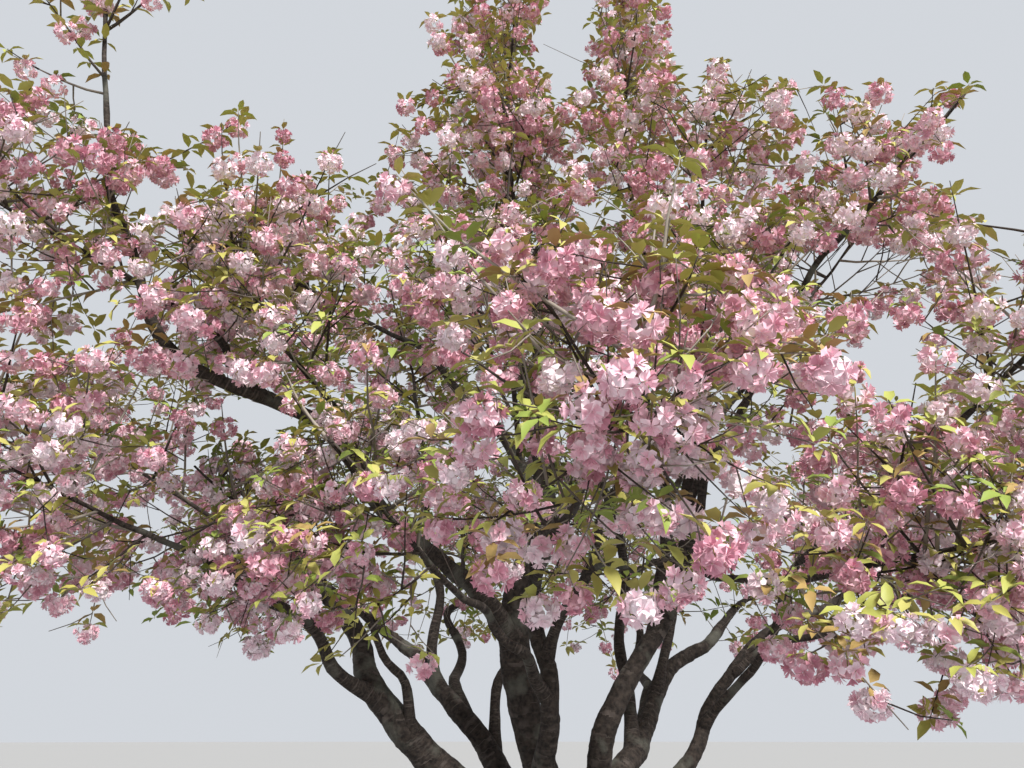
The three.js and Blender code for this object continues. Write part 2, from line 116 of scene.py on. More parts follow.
TWIG_ROOT_RADIUS = 0.01  # at least
STEM_SHARE = 1.72  # length of a mass's stem, as a share of its half-width
STEM_SEED = 3
SIDE_TWIGS = (5, 1)  # twigs that leave a stem, and twigs that leave each of those
FIRST_TWIG = 0.12  # where on a twig the first one leaves it
TWIG_STRETCH = 0.82  # share of a twig over which others leave it
PLACE_START = 0.35  # where in its share of that stretch a twig may leave
PLACE_SPREAD = 0.3  # and how far on from there
TWIG_GIRTH = 0.72  # radius of a twig, as a share of the one that it leaves
TWIG_TAPER = 0.6  # share of its girth that a twig has lost at its tip
TWIG_FILL = (0.72, 0.88)  # how far a twig reaches towards the edge of its mass
SPLIT_ANGLES = (38, 72)  # least and most between a twig and the one that it leaves
GOLDEN_ANGLE = 137.5  # turn round the stem from one twig to the next
WANDER = 15  # most that a twig strays from that turn
RETRY_ANGLE = 75  # further turn of a twig that had no room
RETRY_SHORTER = 0.12  # and how much shorter it is each time
RETRIES = 4
SHORTEST_TWIG = 0.15
TWIG_LIFT = 0.16  # how much a twig turns up along its length
STEM_LIFT = 0.06  # and a stem
STEM_STRETCHES = 4  # straight stretches of a stem, where others keep clear of it
SPACE_SLACK = 1.12  # how far past its half-width a mass's furthest tips may reach
SPACE_MARGIN = 0.003  # from any limb, and from the planes between two masses

# Name, rise in degrees and radius of a main bough's root, then bearing, reach, height and
# spread of its mass. Reach and spread, which is half the width, are shares of CROWN_REACH,
# and height is a share of TREE_HEIGHT.
MAIN_BOUGHS = (
    ("left_side", 24, 0.15, 180, 0.78, 0.42, 0.29),
    ("centre_leader", 84, 0.125, 200, 0.11, 0.93, 0.13),
    ("right_shoulder", 62, 0.092, 352, 0.52, 0.6, 0.26),
    ("right_side", 36, 0.066, 2, 0.8, 0.39, 0.29),
    ("centre_high", 66, 0.088, 255, 0.43, 0.46, 0.22),
    ("back_left", 50, 0.105, 144, 0.78, 0.39, 0.29),
    ("back_right", 50, 0.105, 38, 0.78, 0.39, 0.29),
)
# Name, the bough that it leaves and how far along that one, then the same four
SIDE_BOUGHS = (
    ("left_leader", "centre_leader", 0.22, 218, 0.88, 0.69, 0.15),
    ("left_mid", "left_leader", 0.42, 222, 0.6, 0.47, 0.23),
    ("left_high", "left_leader", 0.6, 212, 0.9, 0.53, 0.22),
    ("left_low", "left_side", 0.5, 211, 0.81, 0.35, 0.23),
    ("left_under", "left_side", 0.34, 207, 0.5, 0.34, 0.21),
    ("top_left", "centre_leader", 0.4, 182, 0.5, 0.62, 0.26),
    ("crown_top", "centre_leader", 0.48, 235, 0.2, 0.68, 0.25),
    ("right_leader", "right_shoulder", 0.42, 322, 0.19, 0.87, 0.14),
    ("top_right", "right_shoulder", 0.52, 312, 0.4, 0.64, 0.25),
    ("right_arm", "right_shoulder", 0.6, 317, 0.67, 0.6, 0.19),
    ("front_low", "centre_high", 0.62, 270, 0.78, 0.33, 0.19),
    ("front_left_low", "centre_high", 0.4, 243, 0.54, 0.31, 0.18),
    ("right_mid", "centre_high", 0.5, 296, 0.53, 0.44, 0.21),
    ("right_low", "right_mid", 0.4, 297, 0.68, 0.28, 0.18),
    ("far_right", "right_side", 0.42, 314, 0.8, 0.41, 0.21),
    ("right_low_side", "right_side", 0.56, 338, 0.76, 0.32, 0.23),
    ("back_mid_right", "back_right", 0.4, 74, 0.78, 0.39, 0.29),
    ("back_mid_left", "back_left", 0.4, 108, 0.78, 0.4, 0.29),
    ("back_high_right", "back_right", 0.5, 30, 0.47, 0.63, 0.27),
    ("back_high", "back_right", 0.3, 85, 0.42, 0.66, 0.27),
    ("back_high_left", "back_left", 0.5, 135, 0.5, 0.62, 0.27),
    ("back_inner", "back_left", 0.28, 92, 0.32, 0.4, 0.21),
)
# Half-height of the masses that aren't nearly round, as a share of CROWN_REACH
DEPTHS = {"centre_leader": 0.26, "left_leader": 0.27, "right_leader": 0.25, "right_arm": 0.12}
ROUND_DEPTH = 0.9  # half-height of the others, as a share of their half-width
LEADERS = ("centre_leader", "left_leader", "right_leader")  # upright, above the dome

# The camera, in metres and degrees, and its picture in the photograph's pixels
CAMERA_SPOT = (-0.36, -6.0, 1.6)
CAMERA_PITCH = 23.0  # above level
FOCAL_PIXELS = 830.0
FRAME_WIDTH = 1024.0
FRAME_HEIGHT = 768.0
# Where the sky shows between the boughs and beside them: the middle of each opening in the
# picture, across and down, and half its width and height
SKY_OPENINGS = (
    (566, 30, 24, 72),
    (690, 40, 26, 42),
    (890, -10, 225, 95),
    (1012, 150, 58, 85),
    (850, 262, 68, 28),
    (1000, 368, 24, 14),
)

UP = np.array((0.0, 0.0, 1.0))
ALONG_X = np.array((1.0, 0.0, 0.0))
STEEP = 0.9  # a direction that rises more than this is crossed with ALONG_X and not with UP
NO_LENGTH = 1e-12  # what a vector without any length is divided by
WORD = 0xFFFFFFFF  # the largest whole number of 32 bits
TINY = 1e-15  # keeps a stretch without any length from a division by zero
LINE_DIVISIONS = 200  # a line's length is measured in this many hops
TANGENT_STEP = 0.0001  # before and after the time at which a tangent is taken

# Everything on the tree follows one gentle crook of the space round it, so that each limb
# looks grown and each twig still stands on the limb that carries it
CROOKS = ((0.42, 0.024), (0.15, 0.009))  # from one bend to the next, and how deep the bends are
CROOK_SHIFTS = ((0.0, 0.0, 0.0), (37.3, 0.6, 11.8), (5.7, 53.4, 29.1))  # of the noise, by axis
CROOK_FREE = 0.7  # height below which the trunk stays as it is


# Numbers and lines


def seeded(seed):
    """A small repeatable source of numbers from 0 to 1, the same as the one in the source."""
    state = seed & WORD

    def draw():
        nonlocal state
        state = (state + 0x6D2B79F5) & WORD
        t = ((state ^ (state >> 15)) * (1 | state)) & WORD
        t = ((t + (t ^ (t >> 7)) * (61 | t)) & WORD) ^ t
        return (t ^ (t >> 14)) / (WORD + 1)

    return draw


def child_seed(seed, k):
    """The seed of a limb's k-th child, as in the source."""
    return (seed * 31 + 7919 * (k + 1)) & WORD


def between(ends, share):
    return ends[0] + (ends[1] - ends[0]) * share


def jitter(rng, most, count=None):
    """One number, or this many, drawn from as far below zero as above it."""
    return rng.uniform(-most, most, count)


def unit(v):
    return v / np.maximum(np.linalg.norm(v, axis=-1, keepdims=True), NO_LENGTH)


def place(bearing, reach, height):
    angle = math.radians(bearing)
    return np.array((reach * math.cos(angle), reach * math.sin(angle), height))


def sideways(direction, angle):
    """The unit vector square to a direction that lies at an angle round it."""
    reference = ALONG_X if abs(direction[2]) > STEEP else UP
    across = unit(np.cross(direction, reference))
    return across * math.cos(angle) + np.cross(direction, across) * math.sin(angle)


class Line:
    """A smooth line through space, read by the share of its length."""

    def __init__(self, spots_at):
        self.spots_at = spots_at
        self.times = np.linspace(0, 1, LINE_DIVISIONS + 1)
        hops = np.linalg.norm(np.diff(spots_at(self.times), axis=0), axis=1)
        self.lengths = np.append(0, np.cumsum(hops))

    def length(self):
        return self.lengths[-1]

    def spots(self, shares):
        times = np.interp(np.asarray(shares) * self.length(), self.lengths, self.times)
        return self.spots_at(times)

    def spot(self, share):
        return self.spots([share])[0]

    def tangent(self, share):
        time = np.interp(share * self.length(), self.lengths, self.times)
        ends = np.clip((time - TANGENT_STEP, time + TANGENT_STEP), 0, 1)
        before, after = self.spots_at(ends)
        return unit(after - before)


def bezier(*posts):
    """Where a Bezier line with these posts passes at the times from 0 to 1."""
    order = len(posts) - 1

    def spots_at(times):
        t = np.asarray(times)[:, None]
        weights = [math.comb(order, k) * (1 - t) ** (order - k) * t**k for k in range(order + 1)]
        return sum(weight * post for weight, post in zip(weights, posts))

    return spots_at


def crooked(sweep, chord, swing, draw):
    """A sweep with a crook or two, as the boughs have."""
    phases = [draw(), draw()]
    across = sideways(unit(chord), math.pi * draw())
    over = sideways(across, math.pi * draw())

    def spots_at(times):
        t = np.asarray(times)[:, None]
        fade = np.sin(math.pi * t) * swing
        one = fade * np.sin(2 * math.pi * (CROOK_TURNS[0] * t + phases[0]))
        two = fade * np.sin(2 * math.pi * (CROOK_TURNS[1] * t + phases[1]))
        return sweep(times) + across * one + over * two

    return spots_at


def settled(spots):
    """The spots, moved by the gentle crook of the space that they lie in."""
    spots = np.asarray(spots, float)
    flat = spots.reshape(-1, 3)
    swing = np.zeros_like(flat)
    for size, depth in CROOKS:
        for axis, shift in enumerate(CROOK_SHIFTS):
            swing[:, axis] += [depth * noise.noise(Vector(spot / size + shift)) for spot in flat]
    fade = np.clip((flat[:, 2:] - CROOK_FREE) / CROOK_FREE, 0, 1)
    return (flat + fade * swing).reshape(spots.shape)


# Limbs


def trunk_axis(height):
    return np.array((TRUNK_LEAN * height / FORK_HEIGHT, 0.0, height))


class Limb:
    """A bough and the space of the mass of twigs on its end."""

    def __init__(self, name, index, main, bearing, reach, height, spread):
        self.name = name
        self.index = index
        self.main = main
        self.bearing = bearing
        self.centre = place(bearing, reach * CROWN_REACH, height * TREE_HEIGHT)
        self.spread = spread * CROWN_REACH
        self.depth = DEPTHS.get(name, ROUND_DEPTH * spread) * CROWN_REACH
        self.leader = name in LEADERS
        self.shape = np.array((self.spread, self.spread, self.depth))

    def extent_along(self, direction):
        return 1 / np.linalg.norm(direction / self.shape)

    def room_along(self, spot, direction):
        """How far it is from a spot inside the mass to the mass's edge."""
        start = (spot - self.centre) / self.shape
        step = direction / self.shape
        a = step @ step
        b = start @ step
        c = start @ start - 1
        return (math.sqrt(max(b * b - a * c, 0)) - b) / a

    def radius_at(self, share):
        return BOUGH_TIP_RADIUS + (self.girth - BOUGH_TIP_RADIUS) * (1 - share) ** BOUGH_TAPER

    def grow(self, root, leaving, thickest, steps):
        """Lays the bough from its root to the edge of its mass, and the mass's stem from there."""
        arriving = self.centre - root
        if self.leader:
            out = arriving * LEADER_LEAN
            arriving = np.append(out[:2], np.linalg.norm(out) / LEADER_LEAN)
        else:
            arriving = arriving * (1, 1, LEVELLING)
        arriving = unit(arriving)
        tip = self.centre - arriving * ENTRY * self.extent_along(arriving)
        length = np.linalg.norm(tip - root)
        pulls = (root + leaving * ROOT_PULL * length, tip - arriving * TIP_PULL * length)
        sweep = bezier(root, *pulls, tip)
        draw = seeded(child_seed(self.index + 1, CROOK_SEED))
        self.line = Line(crooked(sweep, tip - root, CROOK * length, draw))
        own_girth = thickest if self.main else GIRTH_PER_LENGTH * length + GIRTH_LEAST
        self.girth = min(thickest, own_girth)
        self.steps = steps
        self.arriving = self.line.tangent(1)
        start = self.line.spot(1) + self.arriving * GAP
        reach = STEM_SHARE * self.extent_along(self.arriving)
        self.stem = twig_line(start, self.arriving, reach, STEM_LIFT)


class Stretches:
    """Straight stretches of limbs that twigs keep clear of."""

    def __init__(self, starts, ends, radii):
        self.starts = np.array(starts)
        self.ends = np.array(ends)
        self.radii = np.array(radii)

    def gaps(self, a, b):
        """The shortest distance from the stretch a-b to each of these, from axis to axis."""
        first = b - a
        second = self.ends - self.starts
        apart = a - self.starts
        aa = first @ first + TINY
        bb = np.einsum("ij,ij->i", second, second) + TINY
        ab = second @ first
        af = apart @ first
        bf = np.einsum("ij,ij->i", second, apart)
        det = aa * bb - ab * ab
        safe = np.where(det > TINY, det, 1)
        s = np.where(det > TINY, np.clip((ab * bf - af * bb) / safe, 0, 1), 0)
        t = np.clip((ab * s + bf) / bb, 0, 1)
        s = np.clip((ab * t - af) / aa, 0, 1)
        return np.linalg.norm(apart + s[:, None] * first - t[:, None] * second, axis=1)

    def clear_of(self, a, b, radius):
        return bool(np.all(self.gaps(a, b) > radius + self.radii + SPACE_MARGIN))


def stretches_of(line, radius_at, steps):
    shares = np.linspace(0, 1, steps + 1)
    spots = line.spots(shares)
    radii = [max(radius_at(near), radius_at(far)) for near, far in zip(shares, shares[1:])]
    return list(zip(spots[:-1], spots[1:], radii))


def stem_radius(share):
    """The radius all along a mass's stem, as far as other limbs are concerned."""
    return BOUGH_TIP_RADIUS


@functools.lru_cache(maxsize=1)
def limbs():
    """Every bough by its name, in the order of the tables."""
    found = {}
    for name, rise, radius, bearing, *sizes in MAIN_BOUGHS:
        limb = Limb(name, len(found), True, bearing, *sizes)
        outward = place(bearing, 1, 0)
        root = trunk_axis(BOUGH_ROOT_SHARE * FORK_HEIGHT) + outward * BOUGH_ROOT_OFFSET
        rise = math.radians(rise)
        leaving = outward * math.cos(rise) + UP * math.sin(rise)
        limb.grow(root, leaving, radius, MAIN_STEPS)
        found[name] = limb
    for name, parent_name, at, bearing, *sizes in SIDE_BOUGHS:
        limb = Limb(name, len(found), False, bearing, *sizes)
        parent = found[parent_name]
        root = parent.line.spot(at)
        leaving = unit(unit(limb.centre - root) + parent.line.tangent(at) * FOLLOW)
        limb.parent_radius = parent.radius_at(at)
        limb.grow(root, leaving, GIRTH_SHARE * limb.parent_radius, BOUGH_STEPS)
        found[name] = limb
    return found


# Twigs

EDGE_SIZE = 0.5  # from one lobe of the ragged edge of a mass to the next
EDGE_DEPTH = 0.55  # of a lobe, as a share of the way to the edge
EDGE_SLACK = 1.4  # takes the place of SPACE_SLACK for finer twigs
FINER_SEED = 97
FINER_FILL = (0.84, 1.06)  # takes the place of TWIG_FILL for finer twigs
LONGEST_TWIGS = (math.inf, 0.75, 0.36)  # room that a further twig may fill, by the level it leaves
SHORTEST_SHARE = 0.4  # least length of a further twig, as a share of that room
SPARSE = ("left_leader",)  # masses of a few long shoots
SPARSE_COUNTS = (3, 2, 0)
WHIP_SEED = 53
WHIP_COUNT = 6
WHIP_LEVEL = 1
NO_WHIPS = ("right_arm", "top_right")
WHIP_PLACES = (0.35, 1.0)  # where they leave the stem, as shares of its length
WHIP_LEANS = (0.3, 2.2)  # how far out for each metre up
WHIP_RISE = (0.05, 0.45)  # how far they stand out of the mass
SHOOT_SEED = 71
SHOOT_LEVEL = 3
SHOOTS_ON_BOUGH = (0.35, 1.0)  # shares of its length
SHOOTS_ON_STEM = (0.0, 0.5)
SHOOTS_ABOVE = 2.3
SHOOT_EVERY = 0.07
SHOOT_LENGTHS = (0.12, 0.5)
SHOOT_RISE = 0.3  # how far a shoot turns up, for each metre out
LEADER_SHOOTS = 3.0  # how many times as many there are on a leader
LEADER_STRETCH = 1.6  # and how many times as long


class Twig:
    """A twig of a mass: its level counts up from the stem, which is at level 0."""

    def __init__(self, line, radius, level, seed, whip=False):
        self.line = line
        self.radius = radius
        self.level = level
        self.seed = seed
        self.whip = whip


def twig_line(start, direction, length, lift):
    bend = start + direction * 0.5 * length
    end = start + direction * length + UP * lift * length
    return Line(bezier(start, bend, end))


class Space:
    """What a twig of one mass has to keep to: its own mass's space, clear of every limb."""

    def __init__(self, mass, obstacles):
        others = [limb for limb in limbs().values() if limb is not mass]
        self.mass = mass
        self.centres = np.array([limb.centre for limb in others])
        self.spreads = np.array([limb.spread for limb in others])
        self.apart = np.linalg.norm(self.centres - mass.centre, axis=1)
        stems = []
        for limb in others:
            stems += stretches_of(limb.stem, stem_radius, STEM_STRETCHES)
        self.obstacles = Stretches(*zip(*(obstacles + stems)))

    def holds(self, spot, radius, slack):
        off = spot - self.mass.centre
        reach = math.hypot(off[0], off[1]) + radius
        rise = abs(off[2]) + radius
        if math.hypot(reach / self.mass.spread, rise / self.mass.depth) > slack:
            return False
        mine = off @ off - self.mass.spread**2
        theirs = np.sum((spot - self.centres) ** 2, axis=1) - self.spreads**2
        return bool(np.all((theirs - mine) / (2 * self.apart) >= radius + SPACE_MARGIN))

    def fits(self, a, b, radius, slack):
        inside = all(self.holds(a + (b - a) * share, radius, slack) for share in (0, 0.5, 1))
        return inside and self.obstacles.clear_of(a, b, radius)


def edge_reach(spot):
    """How far finer twigs carry on past the edge of a mass, which is ragged."""
    return 1 + EDGE_DEPTH * noise.noise(Vector(spot / EDGE_SIZE))


def side_twigs(space, parent, count, seed, fills=TWIG_FILL, longest=math.inf, ragged=False):
    """The twigs that leave one twig, by the source's rule and in the order of its draws."""
    slack = EDGE_SLACK if ragged else SPACE_SLACK
    draw = seeded(seed)
    phase = 360 * draw()
    for k in range(count):
        share = FIRST_TWIG + TWIG_STRETCH * (k + PLACE_START + PLACE_SPREAD * draw()) / count
        split = math.radians(between(SPLIT_ANGLES, draw()))
        wander = between((-WANDER, WANDER), draw())
        fill = between(fills, draw())
        start = parent.line.spot(share)
        tangent = parent.line.tangent(share)
        thickness = max(TWIG_ROOT_RADIUS, parent.radius * (1 - TWIG_TAPER * share) * TWIG_GIRTH)
        for retry in range(RETRIES):
            turn = math.radians(phase + k * GOLDEN_ANGLE + wander + RETRY_ANGLE * retry)
            direction = unit(sideways(tangent, turn) * math.sin(split) + tangent * math.cos(split))
            room = space.mass.room_along(start, direction)
            if ragged:
                room *= edge_reach(start + direction * room)
            reach = fill * (1 - RETRY_SHORTER * retry) * min(room, longest)
            line = twig_line(start, direction, reach, TWIG_LIFT)
            shortest = min(SHORTEST_TWIG, SHORTEST_SHARE * longest)
            if reach >= shortest and space.fits(start, line.spot(1), thickness, slack):
                yield Twig(line, thickness, parent.level + 1, child_seed(seed, k))
                break


def coarse_twigs(space, parent, found):
    """The twigs that the solid has, down to its last level."""
    if parent.level >= len(SIDE_TWIGS):
        return
    for twig in side_twigs(space, parent, SIDE_TWIGS[parent.level], parent.seed):
        if in_sky(twig.line.spot(1)):
            continue
        found.append(twig)
        coarse_twigs(space, twig, found)


def finer_twigs(space, parent, counts, found):
    """Further twigs on every twig, down to the fine shoots that carry the blossom."""
    if parent.level >= len(counts):
        return
    seed = child_seed(parent.seed, FINER_SEED)
    longest = LONGEST_TWIGS[parent.level]
    for twig in side_twigs(space, parent, counts[parent.level], seed, FINER_FILL, longest, True):
        if in_sky(twig.line.spot(1)):
            continue
        found.append(twig)
        finer_twigs(space, twig, counts, found)


def in_box(spot):
    """Whether a spot is far enough inside the solids' box for blossom and leaves round it."""
    return bool(np.all(spot > BOX_LOW) and np.all(spot < BOX_HIGH))


def in_sky(spot):
    """Whether a spot lies in one of the openings of the crown, as the camera sees it."""
    x, y, z = spot - np.array(CAMERA_SPOT)
    tilt = math.radians(CAMERA_PITCH)
    depth = y * math.cos(tilt) + z * math.sin(tilt)
    rise = z * math.cos(tilt) - y * math.sin(tilt)
    across = FRAME_WIDTH / 2 + FOCAL_PIXELS * x / depth
    down = FRAME_HEIGHT / 2 - FOCAL_PIXELS * rise / depth
    return any(
        math.hypot((across - u) / wide, (down - v) / high) < 1 for u, v, wide, high in SKY_OPENINGS
    )


def whips(space, mass, stem):
    """Long shoots that stand out of a mass."""
    draw = seeded(child_seed(stem.seed, WHIP_SEED))
    if mass.leader or mass.name in NO_WHIPS:
        return
    for k in range(WHIP_COUNT):
        start = stem.line.spot(between(WHIP_PLACES, draw()))
        lean = unit(place(360 * draw(), between(WHIP_LEANS, draw()), 1))
        length = space.mass.room_along(start, lean) + between(WHIP_RISE, draw())
        line = twig_line(start, lean, length, TWIG_LIFT)
        tip = line.spot(1)
        clear = space.obstacles.clear_of(start, tip, TWIG_ROOT_RADIUS)
        if clear and in_box(tip) and not in_sky(tip):
            seed = child_seed(stem.seed, WHIP_SEED + k)
            yield Twig(line, TWIG_ROOT_RADIUS, WHIP_LEVEL, seed, True)


def shoots_along(line, ends, more, longer, seed):
    """Shoots that leave one stretch of a limb itself, where it is high enough in the crown."""
    draw = seeded(seed)
    count = round((ends[1] - ends[0]) * line.length() / SHOOT_EVERY * more)
    for k in range(count):
        share = between(ends, (k + draw()) / count)
        start = line.spot(share)
        tangent = line.tangent(share)
        side = sideways(tangent, math.radians(k * GOLDEN_ANGLE) + draw())
        length = between(SHOOT_LENGTHS, draw()) * longer
        direction = unit(side + tangent * draw() + UP * SHOOT_RISE)
        shoot = twig_line(start, direction, length, TWIG_LIFT)
        tip = shoot.spot(1)
        if start[2] > SHOOTS_ABOVE and in_box(tip) and not in_sky(tip):
            yield Twig(shoot, TWIG_ROOT_RADIUS, SHOOT_LEVEL, child_seed(seed, k))


def shoots_of_limb(limb):
    """The shoots along the outer part of a bough, and along a leader's stem."""
    seed = child_seed(limb.index + 1, SHOOT_SEED)
    if limb.leader and limb.name not in SPARSE:
        yield from shoots_along(limb.line, SHOOTS_ON_BOUGH, LEADER_SHOOTS, LEADER_STRETCH, seed)
        yield from shoots_along(limb.stem, SHOOTS_ON_STEM, LEADER_SHOOTS, LEADER_STRETCH, seed + 1)
    else:
        yield from shoots_along(limb.line, SHOOTS_ON_BOUGH, 1, 1, seed)


@functools.lru_cache(maxsize=1)
def twigs_of_masses():
    """For every bough's name, the twigs of its mass: the stem first, then the twigs on it."""
    settings = bpy.context.scene.tree_twigs
    counts = (settings.on_stem, settings.on_twig, settings.shoots)
    widest = max(girth for _, girth in TRUNK_PROFILE)
    obstacles = [(trunk_axis(0), trunk_axis(FORK_HEIGHT), TRUNK_RADIUS * widest)]
    for limb in limbs().values():
        obstacles += stretches_of(limb.line, limb.radius_at, 2 * limb.steps)
    masses = {}
    for mass in limbs().values():
        space = Space(mass, obstacles)
        seed = child_seed(mass.index + 1, STEM_SEED)
        stem = Twig(mass.stem, BOUGH_TIP_RADIUS, 0, seed)
        found = [stem]
        coarse_twigs(space, stem, found)
        finer = SPARSE_COUNTS if mass.name in SPARSE else counts
        for twig in list(found):
            finer_twigs(space, twig, finer, found)
        masses[mass.name] = found + list(whips(space, mass, stem)) + list(shoots_of_limb(mass))
    return masses


# Meshes


def loop_edges(ring):
    """The edges of a loop of points, always in the same order."""
    return list(dict.fromkeys(edge for vert in ring for edge in vert.link_edges))


def extruded(bm, edges):
    """The edges and the points of a new ring, which starts where the old one is."""
    grown = bmesh.ops.extrude_edge_only(bm, edges=edges)["geom"]
    edges = [part for part in grown if isinstance(part, bmesh.types.BMEdge)]
    ring = [part for part in grown if isinstance(part, bmesh.types.BMVert)]
    return edges, ring


def tube(bm, spots, radii, sides):
    """A closed tube through the spots: a circle, extruded from each spot to the next."""
    spots = [Vector(spot) for spot in spots]
    ways = [(after - before).normalized() for before, after in zip(spots, spots[1:])]
    ways.append(ways[-1])
    turn = Vector((0, 0, 1)).rotation_difference(ways[0]).to_matrix().to_4x4()
    start = Matrix.Translation(spots[0]) @ turn @ Matrix.Scale(radii[0], 4)
    made = bmesh.ops.create_circle(bm, cap_ends=False, segments=sides, radius=1, matrix=start)
    edges = loop_edges(made["verts"])
    bmesh.ops.edgeloop_fill(bm, edges=edges)
    for k in range(1, len(spots)):
        edges, ring = extruded(bm, edges)
        turn = ways[k - 1].rotation_difference(ways[k]).to_matrix().to_4x4()
        scale = Matrix.Scale(radii[k] / radii[k - 1], 4)
        step = Matrix.Translation(spots[k]) @ turn @ scale @ Matrix.Translation(-spots[k - 1])
        bmesh.ops.transform(bm, matrix=step, verts=ring)
    bmesh.ops.edgeloop_fill(bm, edges=edges)


def add_object(name, data, materials=()):
    """A new object in the scene, at the origin."""
    item = bpy.data.objects.new(name, data)
    bpy.context.scene.collection.objects.link(item)
    for material in materials:
        data.materials.append(material)
    return item


def object_of_bmesh(name, bm, materials):
    bmesh.ops.recalc_face_normals(bm, faces=bm.faces)
    mesh = bpy.data.meshes.new(name)
    bm.to_mesh(mesh)
    bm.free()
    mesh.shade_smooth()
    return add_object(name, mesh, materials)


def object_of_arrays(name, spots, triangles, tones, materials, smooth=True):
    """One joined piece from arrays of spots, triangles and each triangle's material."""
    mesh = bpy.data.meshes.new(name)
    mesh.vertices.add(len(spots))
    mesh.vertices.foreach_set("co", np.asarray(spots, np.float32).ravel())
    mesh.loops.add(3 * len(triangles))
    mesh.loops.foreach_set("vertex_index", np.asarray(triangles, np.int32).ravel())
    mesh.polygons.add(len(triangles))
    mesh.polygons.foreach_set("loop_start", np.arange(0, 3 * len(triangles), 3, dtype=np.int32))
    mesh.update(calc_edges=True)
    piece = add_object(name, mesh, materials)
    mesh.polygons.foreach_set("material_index", np.asarray(tones, np.int32))
    if smooth:
        mesh.shade_smooth()
    else:
        mesh.shade_flat()
    return piece


def finish_piece(piece, nodes):
    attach(piece, BODY)
    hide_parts(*nodes)


def frames_along(axes, rolls):
    """Turned axes for each item, as columns: two sides and the item's own axis."""
    axes = unit(axes)
    reference = np.where(np.abs(axes[:, 2:]) > STEEP, ALONG_X, UP)
    across = unit(np.cross(reference, axes))
    over = np.cross(axes, across)
    cos, sin = np.cos(rolls)[:, None], np.sin(rolls)[:, None]
    return np.stack((across * cos + over * sin, over * cos - across * sin, axes), axis=2)


def placed(shapes, kinds, frames, sizes, centres):
    """Copies of the shapes, each turned, sized and put in its place: (copies, points, 3)."""
    turned = np.einsum("nij,nvj->nvi", frames, shapes[kinds])
    return turned * sizes[:, None, None] + centres[:, None, :]


def copies_of(triangles, copies, points):
    """The triangles of one shape, repeated for each copy of its points."""
    shifts = np.arange(copies)[:, None, None] * points
    return (triangles[None] + shifts).reshape(-1, 3)


# Materials

PLAIN_SPECULAR = 0.3
BARK_SPECULAR = 0.35
BLACK = (0.0, 0.0, 0.0)
WHITE = (1.0, 1.0, 1.0)
# The bark's textures: how many to a metre of trunk, and how many octaves
PLATES = (26, 4.0)
GRAINS = (34, 8.0)
BANDS = (7, 3.0)
PATCHES = (5.0, 6.0)
BAND_STRETCH = 9.0  # how much narrower a band is along its limb than round it
# The values of a texture between which each look takes over
PLATE_ENDS = (0.32, 0.7)
BAND_ENDS = (0.56, 0.7)
LICHEN_ENDS = (0.54, 0.66)
GLOSS_ENDS = (0.3, 0.7)
LICHEN_COVER = (0.75, 0.75, 0.75)  # most that the lichen hides of the bark
DULL = (0.95, 0.95, 0.95)
SATIN = (0.72, 0.72, 0.72)
PLATE_SHARE = 0.35  # of the plates in the fine relief, next to the grains
BAND_SHARE = 0.4  # and of the bands, next to both
BUMP_STRENGTH = 0.9
# The colour sockets of a Mix node
MIX_FIRST = 6
MIX_SECOND = 7
MIX_RESULT = 2


def new_material(name, values):
    """A material with these values on its shader's own sockets."""
    material = bpy.data.materials.new(name)
    material.use_nodes = True
    for key, value in values.items():
        shader_of(material).inputs[key].default_value = value
    return material


def shader_of(material):
    return material.node_tree.nodes["Principled BSDF"]


def plain_material(name, colour, roughness, sheen=0.0):
    values = {
        "Base Color": (*colour, 1),
        "Roughness": roughness,
        "Sheen Weight": sheen,
        "Specular IOR Level": PLAIN_SPECULAR,
    }
    return new_material(name, values)


def plain_materials(kind, settings, words, roughness, sheen=0.0):
    """A plain material for each word, in the colour that the setting of that name holds."""
    return [
        plain_material(kind + " " + word, getattr(settings, word), roughness, sheen) for word in words
    ]


def add_node(material, kind, inputs, **fields):
    """A node with these fields. An input that is given a socket is linked to it, others are set."""
    node = material.node_tree.nodes.new("ShaderNode" + kind)
    for field, value in fields.items():
        setattr(node, field, value)
    for key, value in inputs.items():
        if isinstance(value, bpy.types.NodeSocket):
            material.node_tree.links.new(value, node.inputs[key])
        else:
            node.inputs[key].default_value = value
    return node


def ramp(material, source, ends, first, last):
    """One colour below the first end of a texture's values, another above the last."""
    node = add_node(material, "ValToRGB", {"Fac": source})
    for stop, position, colour in zip(node.color_ramp.elements, ends, (first, last)):
        stop.position = position
        stop.color = (*colour, 1)
    return node.outputs["Color"]


def mixed(material, share, first, second):
    """One colour or value laid over another by a share, which is a number or a socket."""
    inputs = {"Factor": share, MIX_FIRST: first, MIX_SECOND: second}
    return add_node(material, "Mix", inputs, data_type="RGBA").outputs[MIX_RESULT]


